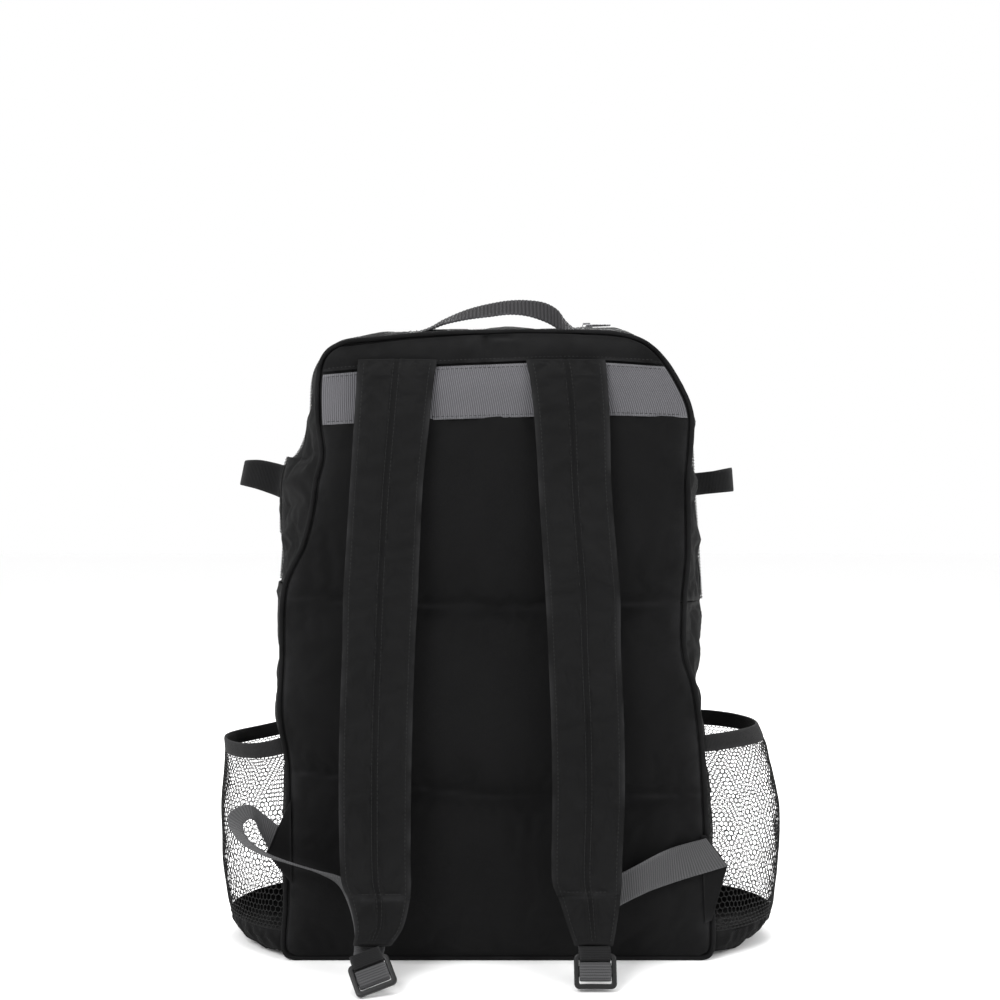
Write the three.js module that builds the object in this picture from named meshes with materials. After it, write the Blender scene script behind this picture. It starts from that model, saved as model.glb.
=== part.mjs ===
// Baseball bat backpack: a soft zipped body on its base, a padded harness in front of the back
// panel, a netted bat pocket and an elastic bat loop on each side. Millimetres, +Z up, the
// harness side faces -Y.

import * as THREE from 'three';

// Body
const halfWidth = 182;        // back seam, from the middle to the widest point
const seamHeight = 532;       // floor to the top run of the back seam
const bodyDepth = 200;        // back seam to front seam
const gussetBulge = 20;       // how far the gusset swells past its seams
const frontWidthShare = 0.96; // front seam against back seam
const frontHeightShare = 0.985;
const clothThickness = 2.2;
const seamGap = 0.3;          // between pieces that are sewn together
const pipingRadius = 2;
const frontCrown = 16;        // swell of the front panel
const backPadding = 7;        // swell of the back panel between its quilted seams
const panelEdge = 2.4;        // panel thickness at its seams
const quiltWidth = 9;         // half width of a quilted groove
const quiltUpper = seamHeight * 0.579;
const quiltLower = seamHeight * 0.282;

// Webbing band across the back panel
const bandWidth = 44;
const bandTop = seamHeight - 27;
const bandBottom = bandTop - bandWidth;
const bandThickness = 1.6;
const yokeBottom = bandTop + 6;

// Zip
const zipPlace = 0.34;        // share of the depth, from the back seam
const zipTapeWidth = 13;
const coilWidth = 5;
const coilHeight = 1.8;
const sliderReach = 80;       // slider's place to the right of the middle
const pullLength = 22;
const pullWidth = 6;
const pullThickness = 1.2;

// Harness
const strapWidth = 62;
const strapPadding = 11;
const strapStandOff = 58;     // how far the strap's foot comes forward of its top
const webbingWidth = 25;
const webbingThickness = 1.5;
const buckleLength = 27;
const buckleRim = 4;
const buckleThickness = 3.6;
const buckleSlot = 5;
const handleWidth = 25;
const handleThickness = 2.4;
const handleSpan = 130;
const handleRise = 17.5;

// Bat carry
const pocketBulge = 55;
const pocketHeight = 190;
const pocketBack = 0.015;     // shares of the depth
const pocketFront = 0.8;
const hemThickness = 2.6;
const netThickness = 1.6;
const netColumns = 8;
const netRows = 5;
const netGapShare = 0.78;
const loopReach = 38;
const loopWidth = 22;
const loopThickness = 1.5;

const paint = (color, roughness, metalness = 0) =>
  new THREE.MeshStandardMaterial({ color, roughness, metalness });
const polyester = paint('#1a1a1b', 0.78);
const elastic = paint('#161617', 0.85);
const netting = paint('#131314', 0.7);
const greyWebbing = paint('#7c7d80', 0.8);
const darkWebbing = paint('#3a3a3d', 0.8);
const plastic = paint('#121213', 0.42);
const steel = paint('#a9abad', 0.32, 1);

const bag = new THREE.Group();

function addPiece(name, geometry, material, parent = bag) {
  const piece = new THREE.Mesh(geometry, material);
  piece.name = name;
  parent.add(piece);
  return piece;
}

// A closed body from its corners and triangles, turned so that its faces point out.
function solid(points, triangles) {
  let volume = 0;
  for (const [a, b, c] of triangles) {
    volume += points[a].dot(new THREE.Vector3().crossVectors(points[b], points[c]));
  }
  const faces = volume < 0 ? triangles.map(([a, b, c]) => [a, c, b]) : triangles;
  const geometry = new THREE.BufferGeometry().setFromPoints(points);
  geometry.setIndex(faces.flat());
  geometry.computeVertexNormals();
  return geometry;
}

// Skin over rings of equally many points: capped at both ends, or closed round on itself.
function loft(rings, closed = false) {
  const around = rings[0].length;
  const points = rings.flat();
  const triangles = [];
  const last = closed ? rings.length : rings.length - 1;
  for (let i = 0; i < last; i++) {
    const here = i * around;
    const next = ((i + 1) % rings.length) * around;
    for (let j = 0; j < around; j++) {
      const k = (j + 1) % around;
      triangles.push([here + j, here + k, next + k], [here + j, next + k, next + j]);
    }
  }
  if (!closed) {
    const end = (rings.length - 1) * around;
    for (let j = 1; j < around - 1; j++) {
      triangles.push([0, j + 1, j], [end, end + j, end + j + 1]);
    }
  }
  return solid(points, triangles);
}

const spread = (from, to, steps) =>
  Array.from({ length: steps + 1 }, (_, i) => from + ((to - from) * i) / steps);

// A wall between two offsets of the surface place(u, v, outward).
function wall(place, us, vs, inner, outer) {
  const points = [];
  const index = (side, i, j) => (side * us.length + i) * vs.length + j;
  for (const outward of [inner, outer]) {
    for (const u of us) {
      for (const v of vs) {
        points.push(place(u, v, outward));
      }
    }
  }
  const triangles = [];
  const quad = (a, b, c, d) => triangles.push([a, b, c], [a, c, d]);
  const lastU = us.length - 1;
  const lastV = vs.length - 1;
  for (let i = 0; i < lastU; i++) {
    for (let j = 0; j < lastV; j++) {
      quad(index(0, i, j), index(0, i + 1, j), index(0, i + 1, j + 1), index(0, i, j + 1));
      quad(index(1, i, j), index(1, i, j + 1), index(1, i + 1, j + 1), index(1, i + 1, j));
    }
  }
  for (let i = 0; i < lastU; i++) {
    quad(index(0, i, 0), index(1, i, 0), index(1, i + 1, 0), index(0, i + 1, 0));
    quad(index(0, i + 1, lastV), index(1, i + 1, lastV), index(1, i, lastV), index(0, i, lastV));
  }
  for (let j = 0; j < lastV; j++) {
    quad(index(0, 0, j + 1), index(1, 0, j + 1), index(1, 0, j), index(0, 0, j));
    quad(index(0, lastU, j), index(1, lastU, j), index(1, lastU, j + 1), index(0, lastU, j + 1));
  }
  return solid(points, triangles);
}

// Seam between the back panel and the gusset, clockwise as the harness side shows it. The
// columns are shares of halfWidth, of the seam's rise and of gussetBulge.
const rimBase = 2 * pipingRadius + seamGap;
const rimRows = [
  { x: -0.95, z: 0, bulge: 0, mark: 'bottom_left' },
  { x: -0.984, z: 0.006, bulge: 0.15, mark: 'foot_left' },
  { x: -0.981, z: 0.085, bulge: 0.75 },
  { x: -0.972, z: 0.3, bulge: 0.9 },
  { x: -1.008, z: 0.385, bulge: 0.85 },
  { x: -1, z: 0.472, bulge: 0.85 },
  { x: -0.986, z: 0.592, bulge: 1, mark: 'zip_left' },
  { x: -0.9, z: 0.66, bulge: 1.95 },
  { x: -0.86, z: 0.715, bulge: 2.28 },
  { x: -0.84, z: 0.764, bulge: 2.42 },
  { x: -0.813, z: 0.802, bulge: 2.3 },
  { x: -0.831, z: 0.866, bulge: 1.15 },
  { x: -0.822, z: 0.944, bulge: 1 },
  { x: -0.79, z: 0.968, bulge: 0.9, mark: 'corner_left' },
  { x: -0.72, z: 0.982, bulge: 0.85 },
  { x: -0.55, z: 0.989, bulge: 0.9, mark: 'crown_left' },
  { x: -0.33, z: 0.996, bulge: 0.75 },
  { x: 0, z: 1, bulge: 0.58 },
  { x: 0.3, z: 1, bulge: 0.75 },
  { x: 0.55, z: 0.997, bulge: 0.9, mark: 'crown_right' },
  { x: 0.67, z: 0.985, bulge: 0.8 },
  { x: 0.752, z: 0.962, bulge: 0.7, mark: 'corner_right' },
  { x: 0.834, z: 0.92, bulge: 0.6 },
  { x: 0.89, z: 0.874, bulge: 0.6 },
  { x: 0.89, z: 0.824, bulge: 0.8 },
  { x: 0.878, z: 0.768, bulge: 1 },
  { x: 0.878, z: 0.642, bulge: 1.25 },
  { x: 0.86, z: 0.567, bulge: 1.55, mark: 'zip_right' },
  { x: 0.864, z: 0.482, bulge: 1.45 },
  { x: 0.906, z: 0.434, bulge: 1.2 },
  { x: 0.937, z: 0.355, bulge: 1 },
  { x: 0.967, z: 0.172, bulge: 0.9 },
  { x: 0.984, z: 0.006, bulge: 0.15, mark: 'foot_right' },
  { x: 0.95, z: 0, bulge: 0, mark: 'bottom_right' },
  { x: 0.88, z: 0, bulge: 0 },
  { x: -0.88, z: 0, bulge: 0 },
];
const rimRise = seamHeight - rimBase;
// The curve's y holds the bulge of the gusset beside that point of the seam.
const rim = new THREE.CatmullRomCurve3(
  rimRows.map((row) => new THREE.Vector3(
    row.x * halfWidth, row.bulge * gussetBulge, rimBase + row.z * rimRise)),
  true,
);
const marked = (mark) => rimRows.findIndex((row) => row.mark === mark) / rimRows.length;
const samplesPerRow = 2;
const along = (from, to) =>
  spread(from, to, Math.round((to - from) * rimRows.length) * samplesPerRow);
const halfDepth = bodyDepth / 2;
const lerp = THREE.MathUtils.lerp;

// A point of the body: t round the seam, depth as a share from back to front seam, outward
// in the plane of the panels.
function shellPoint(t, depth, outward) {
  const seam = rim.getPoint(t);
  const tangent = rim.getTangent(t).setY(0).normalize();
  const swell = seam.y * Math.max(Math.sin(Math.PI * depth), 0) ** 0.9;
  return new THREE.Vector3(
    seam.x * lerp(1, frontWidthShare, depth) - tangent.z * (swell + outward),
    lerp(-halfDepth, halfDepth, depth),
    seam.z * lerp(1, frontHeightShare, depth) + tangent.x * (swell + outward),
  );
}

// The seam's parameter where the given coordinate is reached between two marks.
function seamParameter(axis, value, from, to) {
  let low = from;
  let high = to;
  const rising = rim.getPoint(to)[axis] > rim.getPoint(from)[axis];
  for (let i = 0; i < 30; i++) {
    const middle = (low + high) / 2;
    if (rim.getPoint(middle)[axis] < value === rising) {
      low = middle;
    } else {
      high = middle;
    }
  }
  return (low + high) / 2;
}

const sides = {
  left: { sign: -1, bottom: marked('bottom_left'), foot: marked('foot_left'),
    zip: marked('zip_left'), crown: marked('crown_left') },
  right: { sign: 1, bottom: marked('bottom_right'), foot: marked('foot_right'),
    zip: marked('zip_right'), crown: marked('crown_right') },
};
const atHeight = (side, height) => seamParameter('z', height, side.bottom, side.crown);
const atReach = (x) => seamParameter('x', x, marked('corner_left'), marked('corner_right'));

// Gusset: a wall on each side below the zip, and two strips over the top beside it.
const gussetColumns = spread(0, 1, 6);
addPiece('side_gusset_left',
  wall(shellPoint, along(sides.left.foot, sides.left.zip), gussetColumns, -clothThickness, 0),
  polyester);
addPiece('side_gusset_right',
  wall(shellPoint, along(sides.right.zip, sides.right.foot), gussetColumns, -clothThickness, 0),
  polyester);
const zipRun = along(sides.left.zip, sides.right.zip);
const endGap = 0.0006;        // of the seam's length, between side gussets and strips
zipRun[0] += endGap;
zipRun[zipRun.length - 1] -= endGap;
const tapeShare = zipTapeWidth / bodyDepth / 2;
const tapeGap = seamGap / bodyDepth;
addPiece('top_gusset_back',
  wall(shellPoint, zipRun, spread(0, zipPlace - tapeShare - tapeGap, 3), -clothThickness, 0),
  polyester);
addPiece('top_gusset_front',
  wall(shellPoint, zipRun, spread(zipPlace + tapeShare + tapeGap, 1, 4), -clothThickness, 0),
  polyester);
const tapeTop = -0.4;
const tapeRun = zipRun.filter((_, i) => i % samplesPerRow === 0);
addPiece('zip_tape',
  wall(shellPoint, tapeRun, [zipPlace - tapeShare, zipPlace + tapeShare],
    -clothThickness, tapeTop),
  elastic);
const coilShare = coilWidth / bodyDepth / 2;
const coilTop = tapeTop + seamGap + coilHeight;
addPiece('zip_coil',
  wall(shellPoint, tapeRun, [zipPlace - coilShare, zipPlace + coilShare],
    tapeTop + seamGap, coilTop),
  plastic);

// Piping: a cord round each seam, resting on the ground along the bottom.
function piping(depth, towards) {
  const corners = 5;
  const rings = along(0, 1).slice(0, -1).map((t) => {
    const ring = [];
    for (let i = 0; i < corners; i++) {
      const angle = ((i + 0.5) / corners) * 2 * Math.PI;
      const out = seamGap + pipingRadius * (1 + Math.cos(angle));
      const point = shellPoint(t, depth, out);
      point.y += towards * pipingRadius * (0.6 + Math.sin(angle));
      ring.push(point);
    }
    return ring;
  });
  return loft(rings, true);
}
addPiece('piping_back', piping(0, -1), polyester);
addPiece('piping_front', piping(1, 1), polyester);

// Panels: a grid between the two side seams, share running from the bottom to the crown.
const edgeInset = 1.8;
const crownLift = (rimBase + rimRise)
  - (rim.getPoint(sides.left.crown).z + rim.getPoint(sides.right.crown).z) / 2;
function panelPoint(u, share) {
  const ends = [sides.left, sides.right].map((side) => {
    const crown = rim.getPoint(side.crown).z;
    const end = rim.getPoint(atHeight(side, lerp(rimBase, crown, share)));
    end.x -= side.sign * edgeInset;
    return end;
  });
  const point = ends[0].clone().lerp(ends[1], u);
  point.z += crownLift * 4 * u * (1 - u) * share ** 12;
  return point;
}
const shareAt = (height) => (height - rimBase) / rimRise;
const quilts = [quiltUpper, quiltLower];
function padding(u, share) {
  let amount = 1 - (2 * u - 1) ** 4;
  for (const quilt of quilts) {
    amount *= 1 - Math.exp(-(((share - shareAt(quilt)) * rimRise / quiltWidth) ** 2));
  }
  return amount * Math.min(1, share / 0.07) * Math.min(1, (1 - share) / 0.08);
}
function backFace(u, share, lift) {
  const point = panelPoint(u, share);
  point.y = -(halfDepth + seamGap + panelEdge + backPadding * padding(u, share) + lift);
  return point;
}
function backPanel(u, share, outer) {
  const point = backFace(u, share, 0);
  if (!outer) {
    point.y = -(halfDepth + seamGap);
  }
  return point;
}
const panelColumns = spread(0, 1, 10);
const bandRows = spread(shareAt(bandBottom), shareAt(bandTop), 2);
const quiltRows = quilts.flatMap((quilt) =>
  [-1.5, 0, 1.5].map((step) => shareAt(quilt + step * quiltWidth)));
const openRows = [0, 0.035, 0.085, 0.17, 0.355, 0.385, 0.434, 0.472, 0.66, 0.715, 0.764, 0.81,
  shareAt(yokeBottom)];
const panelRows = [...openRows, ...quiltRows, ...bandRows].sort((a, b) => a - b);
addPiece('back_panel', wall(backPanel, panelColumns, panelRows, 0, 1), polyester);
const yokeRows = [shareAt(yokeBottom + seamGap), 0.985, 1];
addPiece('panel_yoke', wall(backPanel, panelColumns, yokeRows, 0, 1), polyester);
addPiece('webbing_band',
  wall(backFace, panelColumns, bandRows, seamGap, seamGap + bandThickness), greyWebbing);

function frontPanel(u, share, outer) {
  const point = panelPoint(u, share);
  point.x *= frontWidthShare;
  point.z *= frontHeightShare;
  const crown = frontCrown * (1 - (2 * u - 1) ** 4) * (1 - (2 * share - 1) ** 6);
  point.y = halfDepth + seamGap + crown + (outer ? panelEdge : 0);
  return point;
}
const frontRows = [0, 0.035, 0.085, 0.3, 0.385, 0.434, 0.472, 0.592, 0.66, 0.764, 0.824, 0.874,
  0.92, 0.96, 0.985, 1];
addPiece('front_panel',
  wall(frontPanel, spread(0, 1, 8), frontRows, 0, 1),
  polyester);

// Base: flat where it stands, its border rising to the piping.
const baseWidth = 2 * halfWidth * 0.958;
const baseLength = bodyDepth - 3 * seamGap - pipingRadius;
function basePoint(u, v, outward) {
  const rise = (share) => THREE.MathUtils.smoothstep(Math.abs(2 * share - 1), 0.8, 1);
  return new THREE.Vector3(
    lerp(-baseWidth / 2, baseWidth / 2, u),
    lerp(-baseLength / 2, baseLength / 2, v),
    rimBase * Math.max(rise(u), rise(v)) - outward,
  );
}
const baseSteps = [0, 0.05, 0.1, 0.5, 0.9, 0.95, 1];
addPiece('base_panel', wall(basePoint, baseSteps, baseSteps, -clothThickness, 0), polyester);

// A flat ribbon between two edge curves, given point by point.
function ribbon(firstEdge, secondEdge, thickness, stepsPerPoint, closed = false) {
  const first = new THREE.CatmullRomCurve3(firstEdge, closed);
  const second = new THREE.CatmullRomCurve3(secondEdge, closed);
  const steps = (firstEdge.length - (closed ? 0 : 1)) * stepsPerPoint;
  const stations = spread(0, 1, steps).slice(0, closed ? -1 : undefined);
  const rings = stations.map((t) => {
    const a = first.getPoint(t);
    const b = second.getPoint(t);
    const heading = first.getTangent(t).add(second.getTangent(t));
    const half = new THREE.Vector3().crossVectors(b.clone().sub(a), heading)
      .setLength(thickness / 2);
    return [a.clone().add(half), b.clone().add(half), b.clone().sub(half), a.clone().sub(half)];
  });
  return loft(rings, closed);
}

// Shoulder straps: stations from the yoke down. The columns are shares of seamHeight, of
// halfWidth for the two middle lines, of strapWidth, of strapStandOff and of strapPadding.
const strapRows = [
  { z: 0.957, left: -0.464, right: 0.313, width: 1.08, stand: 0, pad: 0.42 },
  { z: 0.93, left: -0.472, right: 0.325, width: 1.05, stand: 0.055, pad: 0.6 },
  { z: 0.865, left: -0.486, right: 0.34, width: 1.02, stand: 0.15, pad: 0.95 },
  { z: 0.752, left: -0.511, right: 0.353, width: 0.98, stand: 0.24, pad: 1 },
  { z: 0.641, left: -0.527, right: 0.375, width: 0.99, stand: 0.32, pad: 1 },
  { z: 0.588, left: -0.534, right: 0.386, width: 1, stand: 0.35, pad: 0.9 },
  { z: 0.5, left: -0.542, right: 0.393, width: 0.97, stand: 0.39, pad: 1 },
  { z: 0.385, left: -0.552, right: 0.406, width: 0.97, stand: 0.45, pad: 1 },
  { z: 0.276, left: -0.555, right: 0.409, width: 0.96, stand: 0.52, pad: 1 },
  { z: 0.15, left: -0.545, right: 0.399, width: 0.92, stand: 0.66, pad: 1 },
  { z: 0.122, left: -0.53, right: 0.411, width: 0.8, stand: 0.71, pad: 0.85 },
  { z: 0.082, left: -0.53, right: 0.42, width: 0.62, stand: 0.82, pad: 0.7 },
  { z: 0.064, left: -0.553, right: 0.423, width: 0.5, stand: 1, pad: 0.5 },
];
// Half of the padded section, as shares of half the width and half the padding.
const strapSection = [
  { across: 0, front: 0.5, back: 0.85 },
  { across: 0.14, front: 0.9, back: 0.9 },
  { across: 0.8, front: 0.9, back: 0.8 },
  { across: 1, front: 0.15, back: 0.15 },
];
function strapTrack(side) {
  const topRow = strapRows[0];
  const topShare = shareAt(topRow.z * seamHeight);
  const seat = [-0.5, 0, 0.5].map((step) => {
    const u = (topRow[side] * halfWidth + step * strapWidth) / (2 * halfWidth) + 0.5;
    return backFace(u, topShare, seamGap + bandThickness).y;
  });
  const root = Math.min(...seat) - seamGap - (topRow.pad * strapPadding * 0.93) / 2;
  return strapRows.map((row) =>
    new THREE.Vector3(row[side] * halfWidth, root - row.stand * strapStandOff, row.z * seamHeight));
}
function shoulderStrap(side) {
  const track = new THREE.CatmullRomCurve3(strapTrack(side));
  const sizes = new THREE.CatmullRomCurve3(strapRows.map((row) =>
    new THREE.Vector3((row.width * strapWidth) / 2, (row.pad * strapPadding) / 2, row.z)));
  const rings = spread(0, 1, (strapRows.length - 1) * 2).map((t) => {
    const middle = track.getPoint(t);
    const heading = track.getTangent(t).setX(0).normalize();
    const facing = new THREE.Vector3(0, heading.z, -heading.y);
    const size = sizes.getPoint(t);
    const corner = (share, sign, height) => middle.clone()
      .add(new THREE.Vector3(sign * share * size.x, 0, 0))
      .addScaledVector(facing, height * size.y);
    const half = strapSection.slice(1);
    return [
      corner(0, 1, strapSection[0].front),
      ...half.map((row) => corner(row.across, 1, row.front)),
      ...half.toReversed().map((row) => corner(row.across, 1, -row.back)),
      corner(0, 1, -strapSection[0].back),
      ...half.map((row) => corner(row.across, -1, -row.back)),
      ...half.toReversed().map((row) => corner(row.across, -1, row.front)),
    ];
  });
  return loft(rings);
}
addPiece('shoulder_strap_left', shoulderStrap('left'), polyester);
addPiece('shoulder_strap_right', shoulderStrap('right'), polyester);

// Triangular tabs in the back seam, each holding one end of its lower webbing.
const tabThickness = 2.2;
const tabFace = halfDepth + seamGap + panelEdge + 3 * seamGap;
function webbingTab(corners) {
  return new THREE.ExtrudeGeometry(
    new THREE.Shape(corners.map(([x, z]) => new THREE.Vector2(x * halfWidth, z * seamHeight))),
    { depth: tabThickness, bevelEnabled: false })
    .rotateX(Math.PI / 2).translate(0, -tabFace, 0);
}

// A point of the harness, its stand counted from where webbing lies on a tab.
const webbingSeat = tabFace + tabThickness + seamGap + webbingThickness / 2;
const harnessPoint = (x, stand, z) =>
  new THREE.Vector3(x * halfWidth, -(webbingSeat + stand * strapStandOff), z * seamHeight);

// Ladder locks, each lying in a frame of its own: x across, y up towards the strap, z to the
// front. top and foot are the middles of its two ends.
const buckleInside = webbingWidth + 3 * seamGap;
const buckleWidth = buckleInside + 2 * buckleRim;
const midBarStart = buckleRim + buckleSlot;
const midBarEnd = buckleLength - buckleRim - buckleSlot;
function buckleFrame(top, foot) {
  const up = top.clone().sub(foot).normalize();
  const front = new THREE.Vector3(1, 0, 0).cross(up).normalize();
  const frame = new THREE.Group();
  frame.position.copy(top);
  frame.setRotationFromMatrix(
    new THREE.Matrix4().makeBasis(new THREE.Vector3().crossVectors(up, front), up, front));
  bag.add(frame);
  frame.updateMatrixWorld(true);
  return frame;
}
function slot(from, to) {
  const hole = new THREE.Path();
  hole.moveTo(-buckleInside / 2, -from);
  hole.lineTo(-buckleInside / 2, -to);
  hole.lineTo(buckleInside / 2, -to);
  hole.lineTo(buckleInside / 2, -from);
  hole.closePath();
  return hole;
}
function ladderLock() {
  const half = buckleWidth / 2;
  const corner = buckleRim * 0.8;
  const outline = new THREE.Shape();
  outline.moveTo(-half, -corner);
  outline.lineTo(-half, -buckleLength + corner);
  outline.quadraticCurveTo(-half, -buckleLength, -half + corner, -buckleLength);
  outline.lineTo(half - corner, -buckleLength);
  outline.quadraticCurveTo(half, -buckleLength, half, -buckleLength + corner);
  outline.lineTo(half, -corner);
  outline.quadraticCurveTo(half, 0, half - corner, 0);
  outline.lineTo(-half + corner, 0);
  outline.quadraticCurveTo(-half, 0, -half, -corner);
  outline.holes = [slot(buckleRim, midBarStart), slot(midBarEnd, buckleLength - buckleRim)];
  return new THREE.ExtrudeGeometry(outline,
    { depth: buckleThickness, bevelEnabled: false, curveSegments: 3 })
    .translate(0, 0, -buckleThickness / 2);
}

// A short loop of webbing from the strap's foot round the buckle's first bar.
function buckleLoop(reach) {
  const gap = seamGap + webbingThickness / 2;
  const high = buckleThickness / 2 + gap;
  const path = [
    { y: reach, z: high * 0.6 }, { y: 0, z: high }, { y: -buckleRim * 0.85, z: high },
    { y: -buckleRim - gap * 0.85, z: high * 0.75 }, { y: -buckleRim - gap, z: 0 },
    { y: -buckleRim - gap * 0.85, z: -high * 0.75 }, { y: -buckleRim * 0.85, z: -high },
    { y: 0, z: -high }, { y: reach, z: -high * 0.6 },
  ];
  const edge = (x) => path.map((point) => new THREE.Vector3(x, point.y, point.z));
  const halfStrap = webbingWidth / 2;
  return ribbon(edge(-halfStrap), edge(halfStrap), webbingThickness, 3, true);
}

// The lower webbing's way through its buckle: along the back, forward through the far slot,
// over the middle bar and into the near slot. The columns are shares of buckleLength and of
// buckleThickness.
const threading = [
  { down: 0.037, front: -1.39 }, { down: 0.333, front: -1.085 }, { down: 0.63, front: -1.03 },
  { down: 0.752, front: -0.445 }, { down: 0.748, front: 0.333 }, { down: 0.681, front: 0.86 },
  { down: 0.481, front: 0.89 }, { down: 0.311, front: 0.805 }, { down: 0.274, front: 0.333 },
  { down: 0.274, front: -0.167 },
];
function lowerWebbing(frame, rows) {
  const through = (x) => threading.map((point) =>
    frame.localToWorld(
      new THREE.Vector3(x, -point.down * buckleLength, point.front * buckleThickness)));
  const edge = (key, x) => [...rows.map((row) => harnessPoint(...row[key])), ...through(x)];
  return ribbon(edge('outer', -webbingWidth / 2), edge('inner', webbingWidth / 2),
    webbingThickness, 2);
}

// Edge points of the lower webbings, from the tab to the back of the buckle. The left one
// first turns over in a loop and then runs on its edge. The columns are shares of halfWidth, of
// strapStandOff in front of the tab, and of seamHeight.
const webbingRows = {
  left: [
    { outer: [-1.02, 0, 0.2171], inner: [-1.066, 0, 0.1786] },
    { outer: [-1.09, -0.0069, 0.2357], inner: [-1.098, 0.0759, 0.2068] },
    { outer: [-1.159, -0.019, 0.25], inner: [-1.127, 0.266, 0.235] },
    { outer: [-1.245, -0.019, 0.2378], inner: [-1.162, 0.317, 0.2293] },
    { outer: [-1.253, -0.0103, 0.2199], inner: [-1.162, 0.352, 0.218] },
    { outer: [-1.22, 0.0069, 0.2002], inner: [-1.138, 0.386, 0.2058] },
    { outer: [-1.173, 0.0328, 0.1861], inner: [-1.104, 0.421, 0.1966] },
    { outer: [-1.125, 0.0586, 0.178], inner: [-1.074, 0.455, 0.1912] },
    { outer: [-1.079, 0.0672, 0.1711], inner: [-1.044, 0.472, 0.1852] },
    { outer: [-0.9615, 0.0759, 0.1592], inner: [-0.9412, 0.49, 0.172] },
    { outer: [-0.8297, 0.128, 0.1466], inner: [-0.8159, 0.541, 0.1607] },
    { outer: [-0.7341, 0.231, 0.1306], inner: [-0.7115, 0.576, 0.1523] },
    { outer: [-0.6813, 0.352, 0.1015], inner: [-0.5824, 0.541, 0.1222] },
    { outer: [-0.6484, 0.576, 0.07143], inner: [-0.5137, 0.628, 0.08271] },
    { outer: [-0.6401, 0.852, 0.05263], inner: [-0.5027, 0.869, 0.05451] },
  ],
  right: [
    { outer: [0.967, 0, 0.1974], inner: [1.065, 0, 0.1528] },
    { outer: [0.794, 0.11, 0.1838], inner: [0.8033, 0.11, 0.1293] },
    { outer: [0.65, 0.283, 0.165], inner: [0.6593, 0.283, 0.1165] },
    { outer: [0.4868, 0.403, 0.1372], inner: [0.5165, 0.421, 0.09305] },
    { outer: [0.3846, 0.524, 0.1071], inner: [0.489, 0.559, 0.07707] },
    { outer: [0.3571, 0.714, 0.07143], inner: [0.4934, 0.731, 0.06673] },
  ],
};
// Corners of the tabs, as shares of halfWidth and of seamHeight.
const tabCorners = {
  left: [[-0.964, 0.2575], [-1.08, 0.1739], [-0.9593, 0.1246]],
  right: [[0.948, 0.2011], [0.967, 0.2011], [1.0687, 0.1532], [0.9945, 0.0658], [0.9632, 0.062]],
};
// The two ends of each buckle, in the same shares as the webbing, and the reach of its loop as
// a share of buckleLength.
const buckleEnds = {
  left: { top: [-0.5731, 1.188, 0.0455], foot: [-0.5137, 1.498, 0.0094], reach: 0.237 },
  right: { top: [0.4264, 1.119, 0.0534], foot: [0.4264, 1.274, 0.0056], reach: 0.156 },
};
for (const side of ['left', 'right']) {
  const ends = buckleEnds[side];
  const frame = buckleFrame(harnessPoint(...ends.top), harnessPoint(...ends.foot));
  addPiece(`ladder_lock_${side}`, ladderLock(), plastic, frame);
  addPiece(`buckle_loop_${side}`, buckleLoop(ends.reach * buckleLength), elastic, frame);
  addPiece(`lower_webbing_${side}`, lowerWebbing(frame, webbingRows[side]), greyWebbing);
  addPiece(`webbing_tab_${side}`, webbingTab(tabCorners[side]), polyester);
}

// Haul handle: ribbed webbing over the top, twisted so that its right half faces the harness
// side. The columns are shares of half the span, of the rise and of the width.
const handleDepth = 0.125;
const handleRows = [
  { x: -1.2, rise: 0, roll: 0 },
  { x: -1.06, rise: 0, roll: 0 },
  { x: -0.9, rise: 0.16, roll: 0.02 },
  { x: -0.72, rise: 0.45, roll: 0.1 },
  { x: -0.4, rise: 0.78, roll: 0.28 },
  { x: -0.12, rise: 0.95, roll: 0.38 },
  { x: 0.16, rise: 1.05, roll: 0.42 },
  { x: 0.38, rise: 1, roll: 0.46 },
  { x: 0.6, rise: 0.72, roll: 0.46 },
  { x: 0.77, rise: 0.38, roll: 0.3 },
  { x: 0.9, rise: 0.1, roll: 0.06 },
  { x: 1.04, rise: 0, roll: 0 },
  { x: 1.16, rise: 0, roll: 0 },
];
function handleEdge(sign) {
  return handleRows.map((row) => {
    const half = handleWidth / 2;
    const depth = handleDepth + (sign * half * Math.sqrt(1 - row.roll ** 2)) / bodyDepth;
    const rise = row.rise * handleRise + sign * row.roll * half;
    return shellPoint(atReach((row.x * handleSpan) / 2), depth,
      seamGap + handleThickness / 2 + rise);
  });
}
addPiece('haul_handle', ribbon(handleEdge(-1), handleEdge(1), handleThickness, 3), darkWebbing);

// Bat loops: elastic ribbons standing out from the gusset. The columns are the share of the
// depth, the share of loopReach and the share of loopTilt.
const loopRows = [
  { depth: 0.4, out: 0 }, { depth: 0.43, out: 0 }, { depth: 0.445, out: 0.1 },
  { depth: 0.44, out: 0.55 }, { depth: 0.455, out: 0.86 }, { depth: 0.515, out: 1 },
  { depth: 0.58, out: 0.86 }, { depth: 0.6, out: 0.55 }, { depth: 0.595, out: 0.1 },
  { depth: 0.61, out: 0 }, { depth: 0.64, out: 0 },
];
const loopHeight = { left: 401, right: 409 };
const loopTilt = { left: 15, right: 1 };
function batLoop(side) {
  const edge = (step) => {
    const height = loopHeight[side] + (step * loopWidth) / 2;
    return loopRows.map((row) => {
      const point = shellPoint(atHeight(sides[side], height), row.depth,
        2 * seamGap + loopThickness / 2 + row.out * loopReach);
      point.z = lerp(point.z, height, row.out) + row.out * loopTilt[side];
      return point;
    });
  };
  return ribbon(edge(1), edge(-1), loopThickness, 2);
}
addPiece('bat_loop_left', batLoop('left'), elastic);
addPiece('bat_loop_right', batLoop('right'), elastic);

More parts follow.
